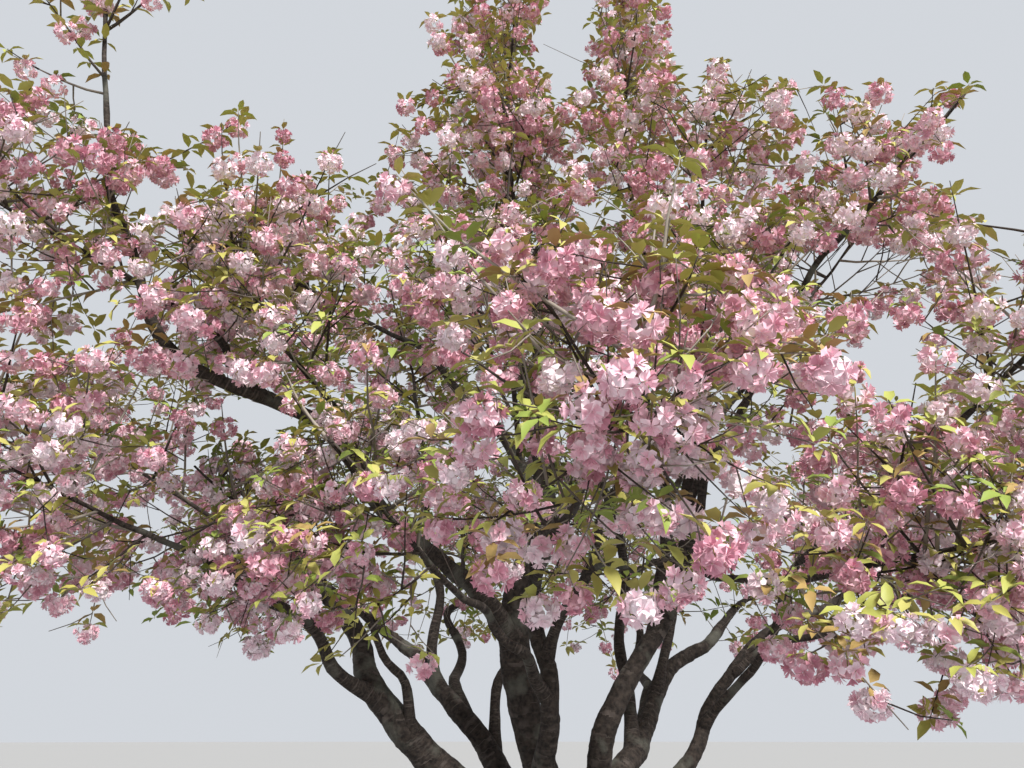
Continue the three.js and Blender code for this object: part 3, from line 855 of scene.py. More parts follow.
def bark_material(name, settings, fineness):
    """Dark furrowed bark with bands round the limb and grey lichen, finer on boughs."""
    material = new_material(name, {"Specular IOR Level": BARK_SPECULAR})
    spots = add_node(material, "TexCoord", {}).outputs["Object"]
    along = add_node(material, "Attribute", {}, attribute_name="along").outputs["Fac"]
    stretch = add_node(material, "Math", {0: along, 1: BAND_STRETCH}, operation="MULTIPLY")
    lift = add_node(material, "CombineXYZ", {"Z": stretch.outputs[0]})
    banded = add_node(material, "VectorMath", {0: spots, 1: lift.outputs[0]}, operation="ADD")

    def texture(kind, vector, texture_size, finer=fineness):
        count, octaves = texture_size
        inputs = {"Vector": vector, "Scale": count * finer, "Detail": octaves}
        return add_node(material, kind, inputs).outputs

    plates = texture("TexVoronoi", spots, PLATES)["Distance"]
    grains = texture("TexNoise", spots, GRAINS)["Fac"]
    bands = texture("TexNoise", banded.outputs[0], BANDS)["Fac"]
    patches = texture("TexNoise", spots, PATCHES, 1)["Fac"]

    base = ramp(material, grains, PLATE_ENDS, settings.dark, settings.mid)
    paler = ramp(material, bands, BAND_ENDS, BLACK, WHITE)
    base = mixed(material, paler, base, (*settings.band, 1))
    grown = ramp(material, patches, LICHEN_ENDS, BLACK, LICHEN_COVER)
    base = mixed(material, grown, base, (*settings.lichen, 1))
    roughness = ramp(material, bands, GLOSS_ENDS, DULL, SATIN)

    height = mixed(material, PLATE_SHARE, grains, plates)
    height = mixed(material, BAND_SHARE, height, bands)
    relief = {"Height": height, "Strength": BUMP_STRENGTH, "Distance": settings.bump / fineness}
    normal = add_node(material, "Bump", relief).outputs["Normal"]
    for key, socket in (("Base Color", base), ("Roughness", roughness), ("Normal", normal)):
        material.node_tree.links.new(socket, shader_of(material).inputs[key])
    return material


# Trunk and boughs

TRUNK_RINGS = 34
TRUNK_SIDES = 48
BELOW_GROUND = 0.15  # share of the trunk's height that is built below the ground, then cut away
TRUNK_BARK = 1.0  # fineness of the bark
BOUGH_BARK = 1.7
MAIN_SIDES = 16
BOUGH_SIDES = 12
RING_EVERY = 0.06  # along a bough
FEWEST_RINGS = 8  # on a short one
SWELLINGS = 6  # to a metre of bough
SWELLING = 0.09  # as a share of the radius
COLLAR = 0.4  # how much wider a side bough is where it leaves its parent
COLLAR_FADE = 1.5  # over how many of its parent's radii the collar dies out
STEM_RINGS = 14
STEM_SIDES = 8
STEM_OVERLAP = 0.03  # how far a stem starts inside the bough that it carries on
SKIN_ROUNDS = 4  # of smoothing on the whole skin
FORK_ROUNDS = 14  # and near the fork, where the crotches are rounded
FORK_REACH = 0.42  # from the fork
FORK_MIDDLE = 0.98  # of the rounding, as a share of FORK_HEIGHT
SMOOTH_STEP = 0.5  # share of the way that a point moves in one round
# Spots at which each limb's axis is noted
TRUNK_SPOTS = 40
BOUGH_SPOTS = 80
STEM_SPOTS = 30
# Lumps, furrows and rings to a metre of bark, and the depth of each for a relief of 1
LUMPS = 7
LUMP_DEPTH = 0.9
LUMP_OCTAVES = (1.0, 2.0, 4)  # how each is weaker and finer than the last, and how many
FURROWS = 16
FURROW_DEPTH = 0.8
FURROW_LEVEL = 0.3  # below which a furrow lies under the bark's face
RINGS = 5
RING_DEPTH = 0.3
ALONG_FURROWS = 3  # how fast the furrows change along a limb
ALONG_RINGS = 7  # and how many times faster the rings
THIN_RELIEF = 0.25  # share of the relief that the thinnest limb has


def trunk_tube(bm):
    """The trunk as a cone of level rings, with ridges that run down into the roots."""
    shares, girths = zip(*TRUNK_PROFILE)
    made = bmesh.ops.create_circle(bm, cap_ends=True, segments=TRUNK_SIDES, radius=1)
    edges = loop_edges(made["verts"])
    rings = [(-BELOW_GROUND, made["verts"])]
    for k in range(1, TRUNK_RINGS + 1):
        edges, ring = extruded(bm, edges)
        rings.append((between((-BELOW_GROUND, 1), k / TRUNK_RINGS), ring))
    bmesh.ops.edgeloop_fill(bm, edges=edges)
    for share, ring in rings:
        girth = TRUNK_RADIUS * float(np.interp(share, shares, girths))
        ridge = FLARE_DEPTH * math.exp(-share / FLARE_FADE) + RIDGE_DEPTH
        axis = Vector(trunk_axis(share * FORK_HEIGHT))
        for vert in ring:
            angle = math.atan2(vert.co.y, vert.co.x)
            radius = girth * (1 + ridge * math.sin(FLARE_LOBES * angle + RIDGE_TWIST * share))
            vert.co = axis + radius * Vector((math.cos(angle), math.sin(angle), 0))


def bough_tube(bm, limb, sides):
    """One bough as a tube with swellings, and a collar where it leaves another bough."""
    length = limb.line.length()
    shares = np.linspace(0, 1, max(FEWEST_RINGS, round(length / RING_EVERY)) + 1)
    spots = settled(limb.line.spots(shares))
    radii = np.array([limb.radius_at(share) for share in shares])
    radii *= 1 + SWELLING * np.array([noise.noise(Vector(spot * SWELLINGS)) for spot in spots])
    if not limb.main:
        past = np.maximum(shares * length - limb.parent_radius, 0)
        radii *= 1 + COLLAR * np.exp(-past / (COLLAR_FADE * limb.parent_radius))
    tube(bm, spots, radii, sides)


def axis_tree():
    """A search tree of spots on every limb's axis, with each one's place along it and radius."""
    spots, places, radii = [], [], []
    for height in np.linspace(0, FORK_HEIGHT, TRUNK_SPOTS):
        spots.append(trunk_axis(height))
        places.append(height)
        radii.append(TRUNK_RADIUS)

    def note(line, count, start, radius_at):
        shares = np.linspace(0, 1, count)
        spots.extend(settled(line.spots(shares)))
        places.extend(start + shares * line.length())
        radii.extend(radius_at(share) for share in shares)

    for limb in limbs().values():
        start = FORK_HEIGHT + limb.index
        note(limb.line, BOUGH_SPOTS, start, limb.radius_at)
        note(limb.stem, STEM_SPOTS, start + limb.line.length(), stem_radius)
    tree = kdtree.KDTree(len(spots))
    for k, spot in enumerate(spots):
        tree.insert(Vector(spot), k)
    tree.balance()
    return tree, np.array(places), np.array(radii)


def carve_relief(piece, relief):
    """Moves each point of the bark in or out, and notes how far along its limb it lies."""
    tree, places, radii = axis_tree()
    mesh = piece.data
    along = mesh.attributes.new("along", "FLOAT", "POINT")
    values = np.zeros(len(mesh.vertices), np.float32)
    normals = [vert.normal.copy() for vert in mesh.vertices]
    for k, vert in enumerate(mesh.vertices):
        _, nearest, _ = tree.find(vert.co)
        values[k] = places[nearest]
        girth = min(radii[nearest] / TRUNK_RADIUS, 1)
        shift = Vector((0, 0, values[k] * ALONG_FURROWS))
        lumps = noise.fractal(vert.co * LUMPS, *LUMP_OCTAVES)
        furrows = abs(noise.noise(vert.co * FURROWS + shift)) - FURROW_LEVEL
        rings = noise.noise(vert.co * RINGS + shift * ALONG_RINGS)
        depth = relief * (THIN_RELIEF + (1 - THIN_RELIEF) * girth)
        height = LUMP_DEPTH * lumps + FURROW_DEPTH * furrows + RING_DEPTH * rings
        vert.co += normals[k] * depth * height
    along.data.foreach_set("value", values)
    mesh.update()


def remeshed(piece, grain):
    """The piece's tubes fused into one skin, with its steps smoothed away."""
    fuse = piece.modifiers.new("Fuse", "REMESH")
    fuse.mode = "VOXEL"
    fuse.voxel_size = grain
    smooth = piece.modifiers.new("Smooth", "SMOOTH")
    smooth.factor = SMOOTH_STEP
    smooth.iterations = SKIN_ROUNDS
    graph = bpy.context.evaluated_depsgraph_get()
    mesh = bpy.data.meshes.new_from_object(piece.evaluated_get(graph))
    piece.modifiers.clear()
    old = piece.data
    piece.data = mesh
    bpy.data.meshes.remove(old)
    mesh.shade_smooth()


def round_fork(bm):
    """Rounds the crotches where the main boughs part."""
    fork = Vector(trunk_axis(FORK_HEIGHT * FORK_MIDDLE))
    near = [vert for vert in bm.verts if (vert.co - fork).length < FORK_REACH]
    axes = {"use_axis_x": True, "use_axis_y": True, "use_axis_z": True}
    for _ in range(FORK_ROUNDS):
        bmesh.ops.smooth_vert(bm, verts=near, factor=SMOOTH_STEP, **axes)


def cut_at_ground(bm):
    """Cuts the trunk level with the ground and closes the cut."""
    everything = bm.verts[:] + bm.edges[:] + bm.faces[:]
    cut = bmesh.ops.bisect_plane(
        bm, geom=everything, plane_co=(0, 0, 0), plane_no=(0, 0, 1), clear_inner=True
    )
    rim = [part for part in cut["geom_cut"] if isinstance(part, bmesh.types.BMEdge)]
    bmesh.ops.edgeloop_fill(bm, edges=rim)
    bmesh.ops.recalc_face_normals(bm, faces=bm.faces)


def reshaped(piece, change):
    """Changes the mesh of a finished piece in place."""
    bm = bmesh.new()
    bm.from_mesh(piece.data)
    change(bm)
    bm.to_mesh(piece.data)
    bm.free()


def build_trunk(settings):
    bm = bmesh.new()
    trunk_tube(bm)
    mains = [limb for limb in limbs().values() if limb.main]
    for limb in mains:
        bough_tube(bm, limb, MAIN_SIDES)
    piece = object_of_bmesh("trunk_and_main_boughs", bm, [])
    remeshed(piece, settings.grain)
    reshaped(piece, round_fork)
    carve_relief(piece, settings.relief)
    reshaped(piece, cut_at_ground)
    piece.data.materials.append(bark_material("old bark", settings, TRUNK_BARK))
    finish_piece(piece, ["trunk"] + [limb.name + "_bough" for limb in mains])


def build_side_boughs(settings):
    """The side boughs, and the stem on the end of every bough."""
    bm = bmesh.new()
    sides = [limb for limb in limbs().values() if not limb.main]
    for limb in sides:
        bough_tube(bm, limb, BOUGH_SIDES)
    shares = np.linspace(0, 1, STEM_RINGS + 1)
    radii = between((BOUGH_TIP_RADIUS, bpy.context.scene.tree_twigs.stem_tip), shares)
    for limb in limbs().values():
        spots = settled(limb.stem.spots(shares))
        spots[0] -= limb.arriving * STEM_OVERLAP
        tube(bm, spots, radii, STEM_SIDES)
    piece = object_of_bmesh("side_boughs", bm, [bark_material("bough bark", settings, BOUGH_BARK)])
    carve_relief(piece, settings.relief)
    finish_piece(piece, [limb.name + "_bough" for limb in sides])


# Twigs as one joined mesh

TWIG_SHAPES = ((4, 6), (3, 4), (3, 2))  # sides and steps, by level from 1
TWIG_COLOURS = ("dark", "grey", "pale")
TWIG_ROUGHNESS = 0.85
TWIG_SEED = 11
GIRTH_SPREAD = (0.85, 1.2)  # of one twig next to another


def tubes_of_arrays(spots, radii, sides):
    """Joined tubes through arrays of spots (tubes, rings, 3), closed by a point at each end."""
    count, rings, _ = spots.shape
    chords = unit(spots[:, -1] - spots[:, 0])
    frames = frames_along(chords, np.zeros(count))
    turns = np.arange(sides) * 2 * math.pi / sides
    rim = np.stack((np.cos(turns), np.sin(turns)), axis=1)
    offsets = np.einsum("nij,sj->nsi", frames[:, :, :2], rim)
    body = spots[:, :, None, :] + offsets[:, None] * radii[:, :, None, None]
    body = body.reshape(count, rings * sides, 3)
    tips = spots[:, -1:] + chords[:, None] * radii[:, -1:, None]
    points = np.concatenate((body, tips, spots[:, :1]), axis=1)
    faces = []
    for ring in range(rings - 1):
        for k in range(sides):
            a, b = ring * sides + k, ring * sides + (k + 1) % sides
            faces += [(a, b, b + sides), (a, b + sides, a + sides)]
    last, tip, root = (rings - 1) * sides, rings * sides, rings * sides + 1
    for k in range(sides):
        faces += [(last + k, last + (k + 1) % sides, tip), ((k + 1) % sides, k, root)]
    return points, copies_of(np.array(faces), count, rings * sides + 2)


def build_twigs(settings):
    """All the twigs, in a few greys, each kind of bark dealt out by twig."""
    rng = np.random.default_rng(TWIG_SEED)
    points, triangles, tones, made = [], [], [], 0
    root_radii = (settings.twig_root, settings.shoot_root, settings.spur_root)
    everything = [twig for twigs in twigs_of_masses().values() for twig in twigs]
    for level, (sides, steps) in enumerate(TWIG_SHAPES, 1):
        twigs = [twig for twig in everything if twig.level == level]
        shares = np.linspace(0, 1, steps + 1)
        spots = settled(np.array([twig.line.spots(shares) for twig in twigs]))
        radii = between((root_radii[level - 1], settings.twig_tip), shares)
        radii = radii * rng.uniform(*GIRTH_SPREAD, (len(twigs), 1))
        spots_made, faces = tubes_of_arrays(spots, radii, sides)
        points.append(spots_made.reshape(-1, 3))
        triangles.append(faces + made)
        kinds = rng.integers(0, len(TWIG_COLOURS), len(twigs))
        tones.append(np.repeat(kinds, len(faces) // len(twigs)))
        made += len(points[-1])
    materials = plain_materials("twig bark", settings, TWIG_COLOURS, TWIG_ROUGHNESS)
    arrays = np.concatenate(points), np.concatenate(triangles), np.concatenate(tones)
    piece = object_of_arrays("twigs", *arrays, materials)
    finish_piece(piece, [name + "_foliage" for name in limbs()])


# Where blossom and leaves sit

SECTOR_NAMES = ("right_back", "back", "left_back", "left_front", "front", "right_front")
# By level from 0: the share of a twig from which on it bears blossom, and leaves
BLOSSOM_FROM = (0.55, 0.4, 0.3, 0.55)
LEAVES_FROM = (0.15, 0.15, 0.15, 0.3)
WHIP_BLOSSOM_FROM = 0.6
LAST_SPUR = 0.98  # share of its length at which a twig's furthest spur sits
SPUR_SEED = 23
SPOT_JITTER = 0.3  # share of the spacing by which a spur strays along its twig
SPARSE_CHANCE = 0.75  # of blossom on the sparse masses
BACK_CHANCE = 0.8  # of blossom behind the trunk, where the masses are larger
BEHIND = 0.8  # how far back that begins
CORE = np.array((-0.1, 0.2, 3.2))  # the shaded middle of the crown, where blossom is sparse
CORE_SHAPE = np.array((4.1, 4.1, 3.4))  # from there to the rim of the crown
CORE_EDGE = 0.3  # share of the way out up to which blossom is rarest
CORE_FADE = 0.35  # and from there to where it is as likely as anywhere
CORE_CHANCE = 0.12


class Spur:
    """A spot on a twig that bears a spray of leaves, and a head of blossom if it blooms."""

    def __init__(self, mass, spot, tangent, at_tip, may_bloom):
        self.mass = mass
        self.spot = spot
        self.tangent = tangent
        self.at_tip = at_tip
        self.may_bloom = may_bloom
        self.blooms = False
        self.depth = np.linalg.norm((spot - CORE) / CORE_SHAPE)

    def chance(self):
        """How likely the spur is to bloom, next to the others."""
        chance = np.clip((self.depth - CORE_EDGE) / CORE_FADE, CORE_CHANCE, 1)
        if self.mass.name in SPARSE:
            chance *= SPARSE_CHANCE
        if self.spot[1] > BEHIND:
            chance *= BACK_CHANCE
        return chance


def spurs_of_twig(mass, twig, spacing, rng):
    """The spurs along one twig, from its tip down."""
    length = twig.line.length()
    if twig.whip:
        blooming = leafy = WHIP_BLOSSOM_FROM
    else:
        blooming = BLOSSOM_FROM[twig.level]
        leafy = LEAVES_FROM[twig.level]
    places = np.arange(length, leafy * length, -spacing)
    places[1:] += jitter(rng, SPOT_JITTER, len(places) - 1) * spacing
    for k, along in enumerate(places):
        share = min(along / length, LAST_SPUR)
        spot = twig.line.spot(share)
        if in_box(spot) and not in_sky(spot):
            yield Spur(mass, spot, twig.line.tangent(share), k == 0, share > blooming)


@functools.lru_cache(maxsize=1)
def spurs():
    """The spurs of the whole crown: first those that bloom, then those with leaves alone."""
    settings = bpy.context.scene.tree_blossom
    rng = np.random.default_rng(SPUR_SEED)
    found = []
    for name, twigs in twigs_of_masses().items():
        for twig in twigs:
            found += spurs_of_twig(limbs()[name], twig, settings.spacing, rng)
    ranks = [rng.random() / spur.chance() for spur in found]
    order = sorted(range(len(found)), key=lambda k: ranks[k])
    ready = [found[k] for k in order if found[k].may_bloom]
    heads = spread_out(ready, settings.clearance)[: settings.heads]
    for spur in heads:
        spur.blooms = True
    rest = [found[k] for k in rng.permutation(len(found)) if not found[k].blooms]
    return spread_out(heads + rest, settings.leaf_clearance)[: settings.sprays]


def spread_out(found, clearance):
    """The spurs that keep clear of the ones before them."""
    cells = {}
    kept = []
    for spur in found:
        cell = tuple(np.floor(spur.spot / clearance).astype(int))
        block = itertools.product(*((step - 1, step, step + 1) for step in cell))
        around = [other for near in block for other in cells.get(near, ())]
        if all(np.linalg.norm(spur.spot - other.spot) >= clearance for other in around):
            cells.setdefault(cell, []).append(spur)
            kept.append(spur)
    return kept


def sectors():
    """The masses in groups, by their bearing round the trunk from the right."""
    names = sorted(limbs(), key=lambda name: limbs()[name].bearing)
    groups = np.array_split(names, len(SECTOR_NAMES))
    return [(label, set(group)) for label, group in zip(SECTOR_NAMES, groups)]


def finish_sector(piece, names):
    """Attaches one sector's blossom or leaves to the body, and hides the solids of that sector's
    masses.
    """
    finish_piece(piece, [name + "_foliage" for name in sorted(names)])


# Blossom

# A petal's outline and faces: along and across it from its root
ROUND_PETAL = ((0.0, 0.0), (0.6, -0.42), (0.98, -0.26), (1.0, 0.22), (0.64, 0.43))
ROUND_FACES = ((0, 2, 1), (0, 3, 2), (0, 4, 3))
FRILLED_PETAL = ((0.0, 0.0), (0.92, -0.4), (0.88, 0.02), (0.98, 0.38))
FRILLED_FACES = ((0, 2, 1), (0, 3, 2))
# Petals of a flower: outline, faces, how many, how far they open from its axis, length and cup
PETAL_RINGS = (
    (ROUND_PETAL, ROUND_FACES, 5, 100, 1.0, 0.1),
    (FRILLED_PETAL, FRILLED_FACES, 5, 62, 1.0, 0.16),
    (FRILLED_PETAL, FRILLED_FACES, 3, 26, 0.9, 0.2),
)
FLOWER_KINDS = 7
FLOWER_SEED = 5
FLOWER_EYE = 0.06  # radius of the ring that the petals stand on
PETAL_WIDTH = 1.1  # what the outlines above are widened by
CUPPED_AT = 0.4  # from a petal's middle to where its cup is as deep as its ring says
PETAL_LENGTHS = (0.88, 1.1)
# How far petals stray: round the flower, in how far they open, in their roll and their edges
PETAL_TURN = 0.18
PETAL_LEAN = 14
PETAL_ROLL = 0.3
PETAL_WAVE = 0.15

BLOSSOM_SEED = 41
PETAL_COLOURS = ("white", "shell", "pink", "rose")
PETAL_ROUGHNESS = 0.6
PETAL_SHEEN = 0.25
TONES_DEALT = (0.34, 0.46, 0.2)  # share of the heads that start from each of the three palest
CREVICE_SHADE_SHIFTS = (0, 1, 1)  # how much deeper in colour each ring is than the flower's palest: a painted shade in the crevices between the petals
DEEPER_CHANCE = 0.2  # of a flower that is one tone deeper than its head
HEAD_FLOWERS = (7, 10)  # least and most flowers in a head
HEAD_RISE = (-0.93, 0.65)  # of the lowest and the highest flower, from -1 to 1
HEAD_FLATNESS = 0.8  # a head's height for its width
HEAD_SIZES = (0.86, 1.14)
FLOWER_SIZES = (0.9, 1.1)
HANG_SPREAD = (0.8, 1.2)  # of how far the heads hang
HEAD_SWAY = (0.02, 0.02, 0.01)  # most that a head hangs beside its place
FLOWER_RISE = 0.1  # how far a flower strays up or down
FLOWER_TURN = 0.25  # and round the head
STALK_SIDES = 3


def flower_shapes():
    """Several double flowers of unit petal length, looking up along +Z."""
    rng = np.random.default_rng(FLOWER_SEED)
    shapes = []
    for _ in range(FLOWER_KINDS):
        points, faces, rings = [], [], []
        for ring, (outline, petal_faces, count, opening, length, cup) in enumerate(PETAL_RINGS):
            start = rng.uniform(0, 2 * math.pi)
            for k in range(count):
                turn = start + (k + jitter(rng, PETAL_TURN)) * 2 * math.pi / count
                lean = math.radians(opening + jitter(rng, PETAL_LEAN))
                radial = np.array((math.cos(turn), math.sin(turn), 0.0))
                along = radial * math.sin(lean) + UP * math.cos(lean)
                across = unit(np.cross(UP, radial) + along * jitter(rng, PETAL_ROLL))
                inward = np.cross(along, across)
                size = length * rng.uniform(*PETAL_LENGTHS)
                faces += [tuple(len(points) + corner for corner in face) for face in petal_faces]
                rings += [ring] * len(petal_faces)
                for u, w in outline:
                    rise = (cup * abs(w) / CUPPED_AT + jitter(rng, PETAL_WAVE)) * min(2 * u, 1)
                    spot = along * u + across * w * PETAL_WIDTH + inward * rise
                    points.append(radial * FLOWER_EYE + size * spot)
        shapes.append(points)
    return np.array(shapes), np.array(faces), np.array(rings)


def head_of_flowers(spur, settings, rng):
    """The middle of one hanging head, and for each flower in it its way out from there."""
    sway = jitter(rng, 1, 3) * HEAD_SWAY
    centre = spur.spot - UP * settings.hang * rng.uniform(*HANG_SPREAD) + sway
    count = rng.integers(*HEAD_FLOWERS, endpoint=True)
    start = rng.uniform(0, 2 * math.pi)
    ways = []
    for k in range(count):
        rise = between(HEAD_RISE, k / (count - 1)) + jitter(rng, FLOWER_RISE)
        turn = start + k * math.radians(GOLDEN_ANGLE) + jitter(rng, FLOWER_TURN)
        level = math.sqrt(max(1 - rise * rise, 0))
        ways.append((level * math.cos(turn), level * math.sin(turn), rise))
    return centre, np.array(ways)


def flowers_of(heads, settings, rng):
    """Each flower's axis, middle, size and palest tone, and both ends of each head's stalk."""
    flowers, stalks = [], []
    deepest = len(TONES_DEALT) - 1
    for spur in heads:
        centre, ways = head_of_flowers(spur, settings, rng)
        head_size = rng.uniform(*HEAD_SIZES)
        tone = rng.choice(len(TONES_DEALT), p=TONES_DEALT)
        spot, centre = settled(np.array((spur.spot, centre)))
        stalks.append((spot, centre))
        for way in ways:
            middle = centre + way * (1, 1, HEAD_FLATNESS) * settings.parting * head_size
            size = head_size * settings.petal * rng.uniform(*FLOWER_SIZES)
            palest = min(tone + (rng.random() < DEEPER_CHANCE), deepest)
            flowers.append((way, middle, size, palest))
    return [np.array(column) for column in zip(*flowers)], np.array(stalks)


def build_blossom(settings):
    """The heads of blossom with their stalks, one piece for each sector of the crown."""
    shapes, faces, rings = flower_shapes()
    materials = plain_materials("petal", settings, PETAL_COLOURS, PETAL_ROUGHNESS, PETAL_SHEEN)
    stalk_tone = len(materials)
    materials.append(plain_material("blossom stalk", settings.stalk, PETAL_ROUGHNESS))
    rng = np.random.default_rng(BLOSSOM_SEED)
    for label, names in sectors():
        heads = [spur for spur in spurs() if spur.blooms and spur.mass.name in names]
        (axes, centres, sizes, palest), stalks = flowers_of(heads, settings, rng)
        count = len(axes)
        kinds = rng.integers(0, FLOWER_KINDS, count)
        frames = frames_along(axes, rng.uniform(0, 2 * math.pi, count))
        points = placed(shapes, kinds, frames, sizes, centres).reshape(-1, 3)
        triangles = copies_of(faces, count, shapes.shape[1])
        # The middle and inner rings take a deeper pink: painted shade in the crevices between the
        # petals
        tones = (palest[:, None] + np.array(CREVICE_SHADE_SHIFTS)[rings]).ravel()
        radii = np.full((len(stalks), 2), settings.stalk_radius)
        stalk_points, stalk_faces = tubes_of_arrays(stalks, radii, STALK_SIDES)
        arrays = (
            np.concatenate((points, stalk_points.reshape(-1, 3))),
            np.concatenate((triangles, stalk_faces + len(points))),
            np.concatenate((tones, np.full(len(stalk_faces), stalk_tone))),
        )
        finish_sector(object_of_arrays("blossom_" + label, *arrays, materials, smooth=False), names)


# Leaves

# A blade of unit length along +X: along, across and up, with its edges raised from the rib
LEAF_POINTS = np.array((
    (0.0, 0.0, 0.0),
    (0.32, -0.2, 0.05),
    (0.68, -0.17, 0.0),
    (1.0, 0.0, -0.26),
    (0.68, 0.17, 0.0),
    (0.32, 0.2, 0.05),
    (0.5, 0.0, -0.03),
))
LEAF_FACES = np.array([(k, (k + 1) % 6, 6) for k in range(6)])  # round the last point, on the rib
# Least and most leaves at a spur without blossom, at one with it and at the end of a shoot
SPRAY_LEAVES = (3, 4)
CAP_LEAVES = (4, 5)
TIP_LEAVES = (4, 5)
SPRAY_PULLS = (0.4, 0.9, 0.25)  # of a spray's axis: along its twig, upwards, out of the crown
LEAF_LEAN = (52, 112)  # degrees from the spray's axis, so the lowest leaves droop
LEAF_TURN = 0.3  # how far a leaf strays round the spray
LEAF_TILT = 0.25  # and how far its face does
LEAF_LENGTHS = (0.65, 1.15)
LEAF_STALK = 0.012  # from the spur to the blade
LEAF_SEED = 67
# The leaves keep their own hues but are brighter than a leaf's own colour: a painted glow for the
# light that shines through them
LEAF_COLOURS = ("lime", "fresh", "green", "olive", "bronze")
LEAF_ROUGHNESS = 0.5
# Share of each colour among the sprays in the light and in the shade
LIGHT_DEALT = (0.28, 0.28, 0.1, 0.22, 0.12)
SHADE_DEALT = (0.1, 0.2, 0.4, 0.25, 0.05)
SHADE_DEPTH = 0.7  # share of the way from the crown's middle out


def spray_of_leaves(spur, settings, rng):
    """One spray: for each leaf its way, side, root, length and colour, which is the spray's."""
    parts = zip(SPRAY_PULLS, (spur.tangent, UP, unit(spur.spot - CORE)))
    axis = unit(sum(pull * way for pull, way in parts))
    most = TIP_LEAVES if spur.at_tip else CAP_LEAVES if spur.blooms else SPRAY_LEAVES
    count = rng.integers(*most, endpoint=True)
    start = rng.uniform(0, 2 * math.pi)
    dealt = SHADE_DEALT if spur.depth < SHADE_DEPTH else LIGHT_DEALT
    tone = rng.choice(len(dealt), p=dealt)
    root = settled(spur.spot)
    for k in range(count):
        turn = start + k * math.radians(GOLDEN_ANGLE) + jitter(rng, LEAF_TURN)
        lean = math.radians(rng.uniform(*LEAF_LEAN))
        way = unit(sideways(axis, turn) * math.sin(lean) + axis * math.cos(lean))
        side = unit(np.cross(axis, way) + jitter(rng, LEAF_TILT, 3))
        length = settings.length * rng.uniform(*LEAF_LENGTHS)
        yield way, side, root + way * LEAF_STALK, length, tone


def build_leaves(settings):
    """The sprays of young leaves, one piece for each sector of the crown."""
    rng = np.random.default_rng(LEAF_SEED)
    materials = plain_materials("leaf", settings, LEAF_COLOURS, LEAF_ROUGHNESS)
    for label, names in sectors():
        leaves = []
        for spur in spurs():
            if spur.mass.name in names:
                leaves += spray_of_leaves(spur, settings, rng)
        ways, sides, roots, lengths, tones = (np.array(column) for column in zip(*leaves))
        sides = unit(sides - ways * np.sum(sides * ways, axis=1, keepdims=True))
        frames = np.stack((ways, sides, np.cross(ways, sides)), axis=2)
        kinds = np.zeros(len(leaves), int)
        points = placed(LEAF_POINTS[None], kinds, frames, lengths, roots).reshape(-1, 3)
        triangles = copies_of(LEAF_FACES, len(leaves), len(LEAF_POINTS))
        tones = np.repeat(tones, len(LEAF_FACES))
        finish_sector(object_of_arrays("leaves_" + label, points, triangles, tones, materials), names)


# Stage

SENSOR_WIDTH = 36.0  # in millimetres
VIEW_END = 500  # past the floor
FLOOR_SIDES = 96
FLOOR_ROUGHNESS = 0.9
KEY_COLOUR = (1.0, 0.97, 0.92)
KEY_FROM = (0.38, -0.78, 0.86)


def build_stage(settings):
    """The floor, the camera at the photograph's viewing angle, the key light and the fill."""
    scene = bpy.context.scene
    bm = bmesh.new()
    bmesh.ops.create_circle(bm, cap_ends=True, segments=FLOOR_SIDES, radius=settings.floor_radius)
    pale = plain_material("pale floor", settings.floor, FLOOR_ROUGHNESS)
    floor = object_of_bmesh("floor", bm, [pale])
    floor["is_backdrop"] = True

    lens = bpy.data.cameras.new("camera")
    lens.sensor_width = SENSOR_WIDTH
    lens.lens = SENSOR_WIDTH * FOCAL_PIXELS / FRAME_WIDTH
    lens.clip_end = VIEW_END
    camera = add_object("camera", lens)
    camera.location = CAMERA_SPOT
    camera.rotation_euler = (math.radians(90 + CAMERA_PITCH), 0, 0)
    scene.camera = camera

    light = bpy.data.lights.new("key light", "SUN")
    light.energy = settings.key
    light.angle = settings.key_width
    light.color = KEY_COLOUR
    key = add_object("key light", light)
    key.rotation_euler = Vector(KEY_FROM).to_track_quat("Z", "Y").to_euler()

    scene.world = bpy.data.worlds.new("studio")
    scene.world.use_nodes = True
    background = scene.world.node_tree.nodes["Background"]
    background.inputs["Color"].default_value = (*settings.backdrop, 1)
    background.inputs["Strength"].default_value = settings.fill
    scene.view_settings.view_transform = "Standard"


# Settings


def a_colour(name, description, default):
    return FloatVectorProperty(
        name=name, description=description, default=default, subtype="COLOR", size=3, min=0, max=1
    )


def a_length(name, description, default, least=0.0):
    return FloatProperty(
        name=name, description=description, default=default, min=least, unit="LENGTH"
    )


def a_count(name, description, default, least=0):
    return IntProperty(name=name, description=description, default=default, min=least)


class WoodSettings(bpy.types.PropertyGroup):
    """Trunk and boughs"""

    grain: a_length("Grain", "Spacing of the mesh points on the trunk", 0.014, 0.008)
    relief: a_length("Relief", "Depth of the bark's lumps and furrows on the trunk", 0.014)
    bump: a_length("Fine relief", "Depth of the finest relief, which is shading alone", 0.012)
    dark: a_colour("Furrows", "Colour in the bark's furrows", (0.012, 0.009, 0.008))
    mid: a_colour("Bark", "Colour of the bark's plates", (0.06, 0.046, 0.038))
    band: a_colour("Bands", "Colour of the bands round the limbs", (0.1, 0.08, 0.07))
    lichen: a_colour("Lichen", "Colour of the grey growth on the bark", (0.12, 0.12, 0.1))


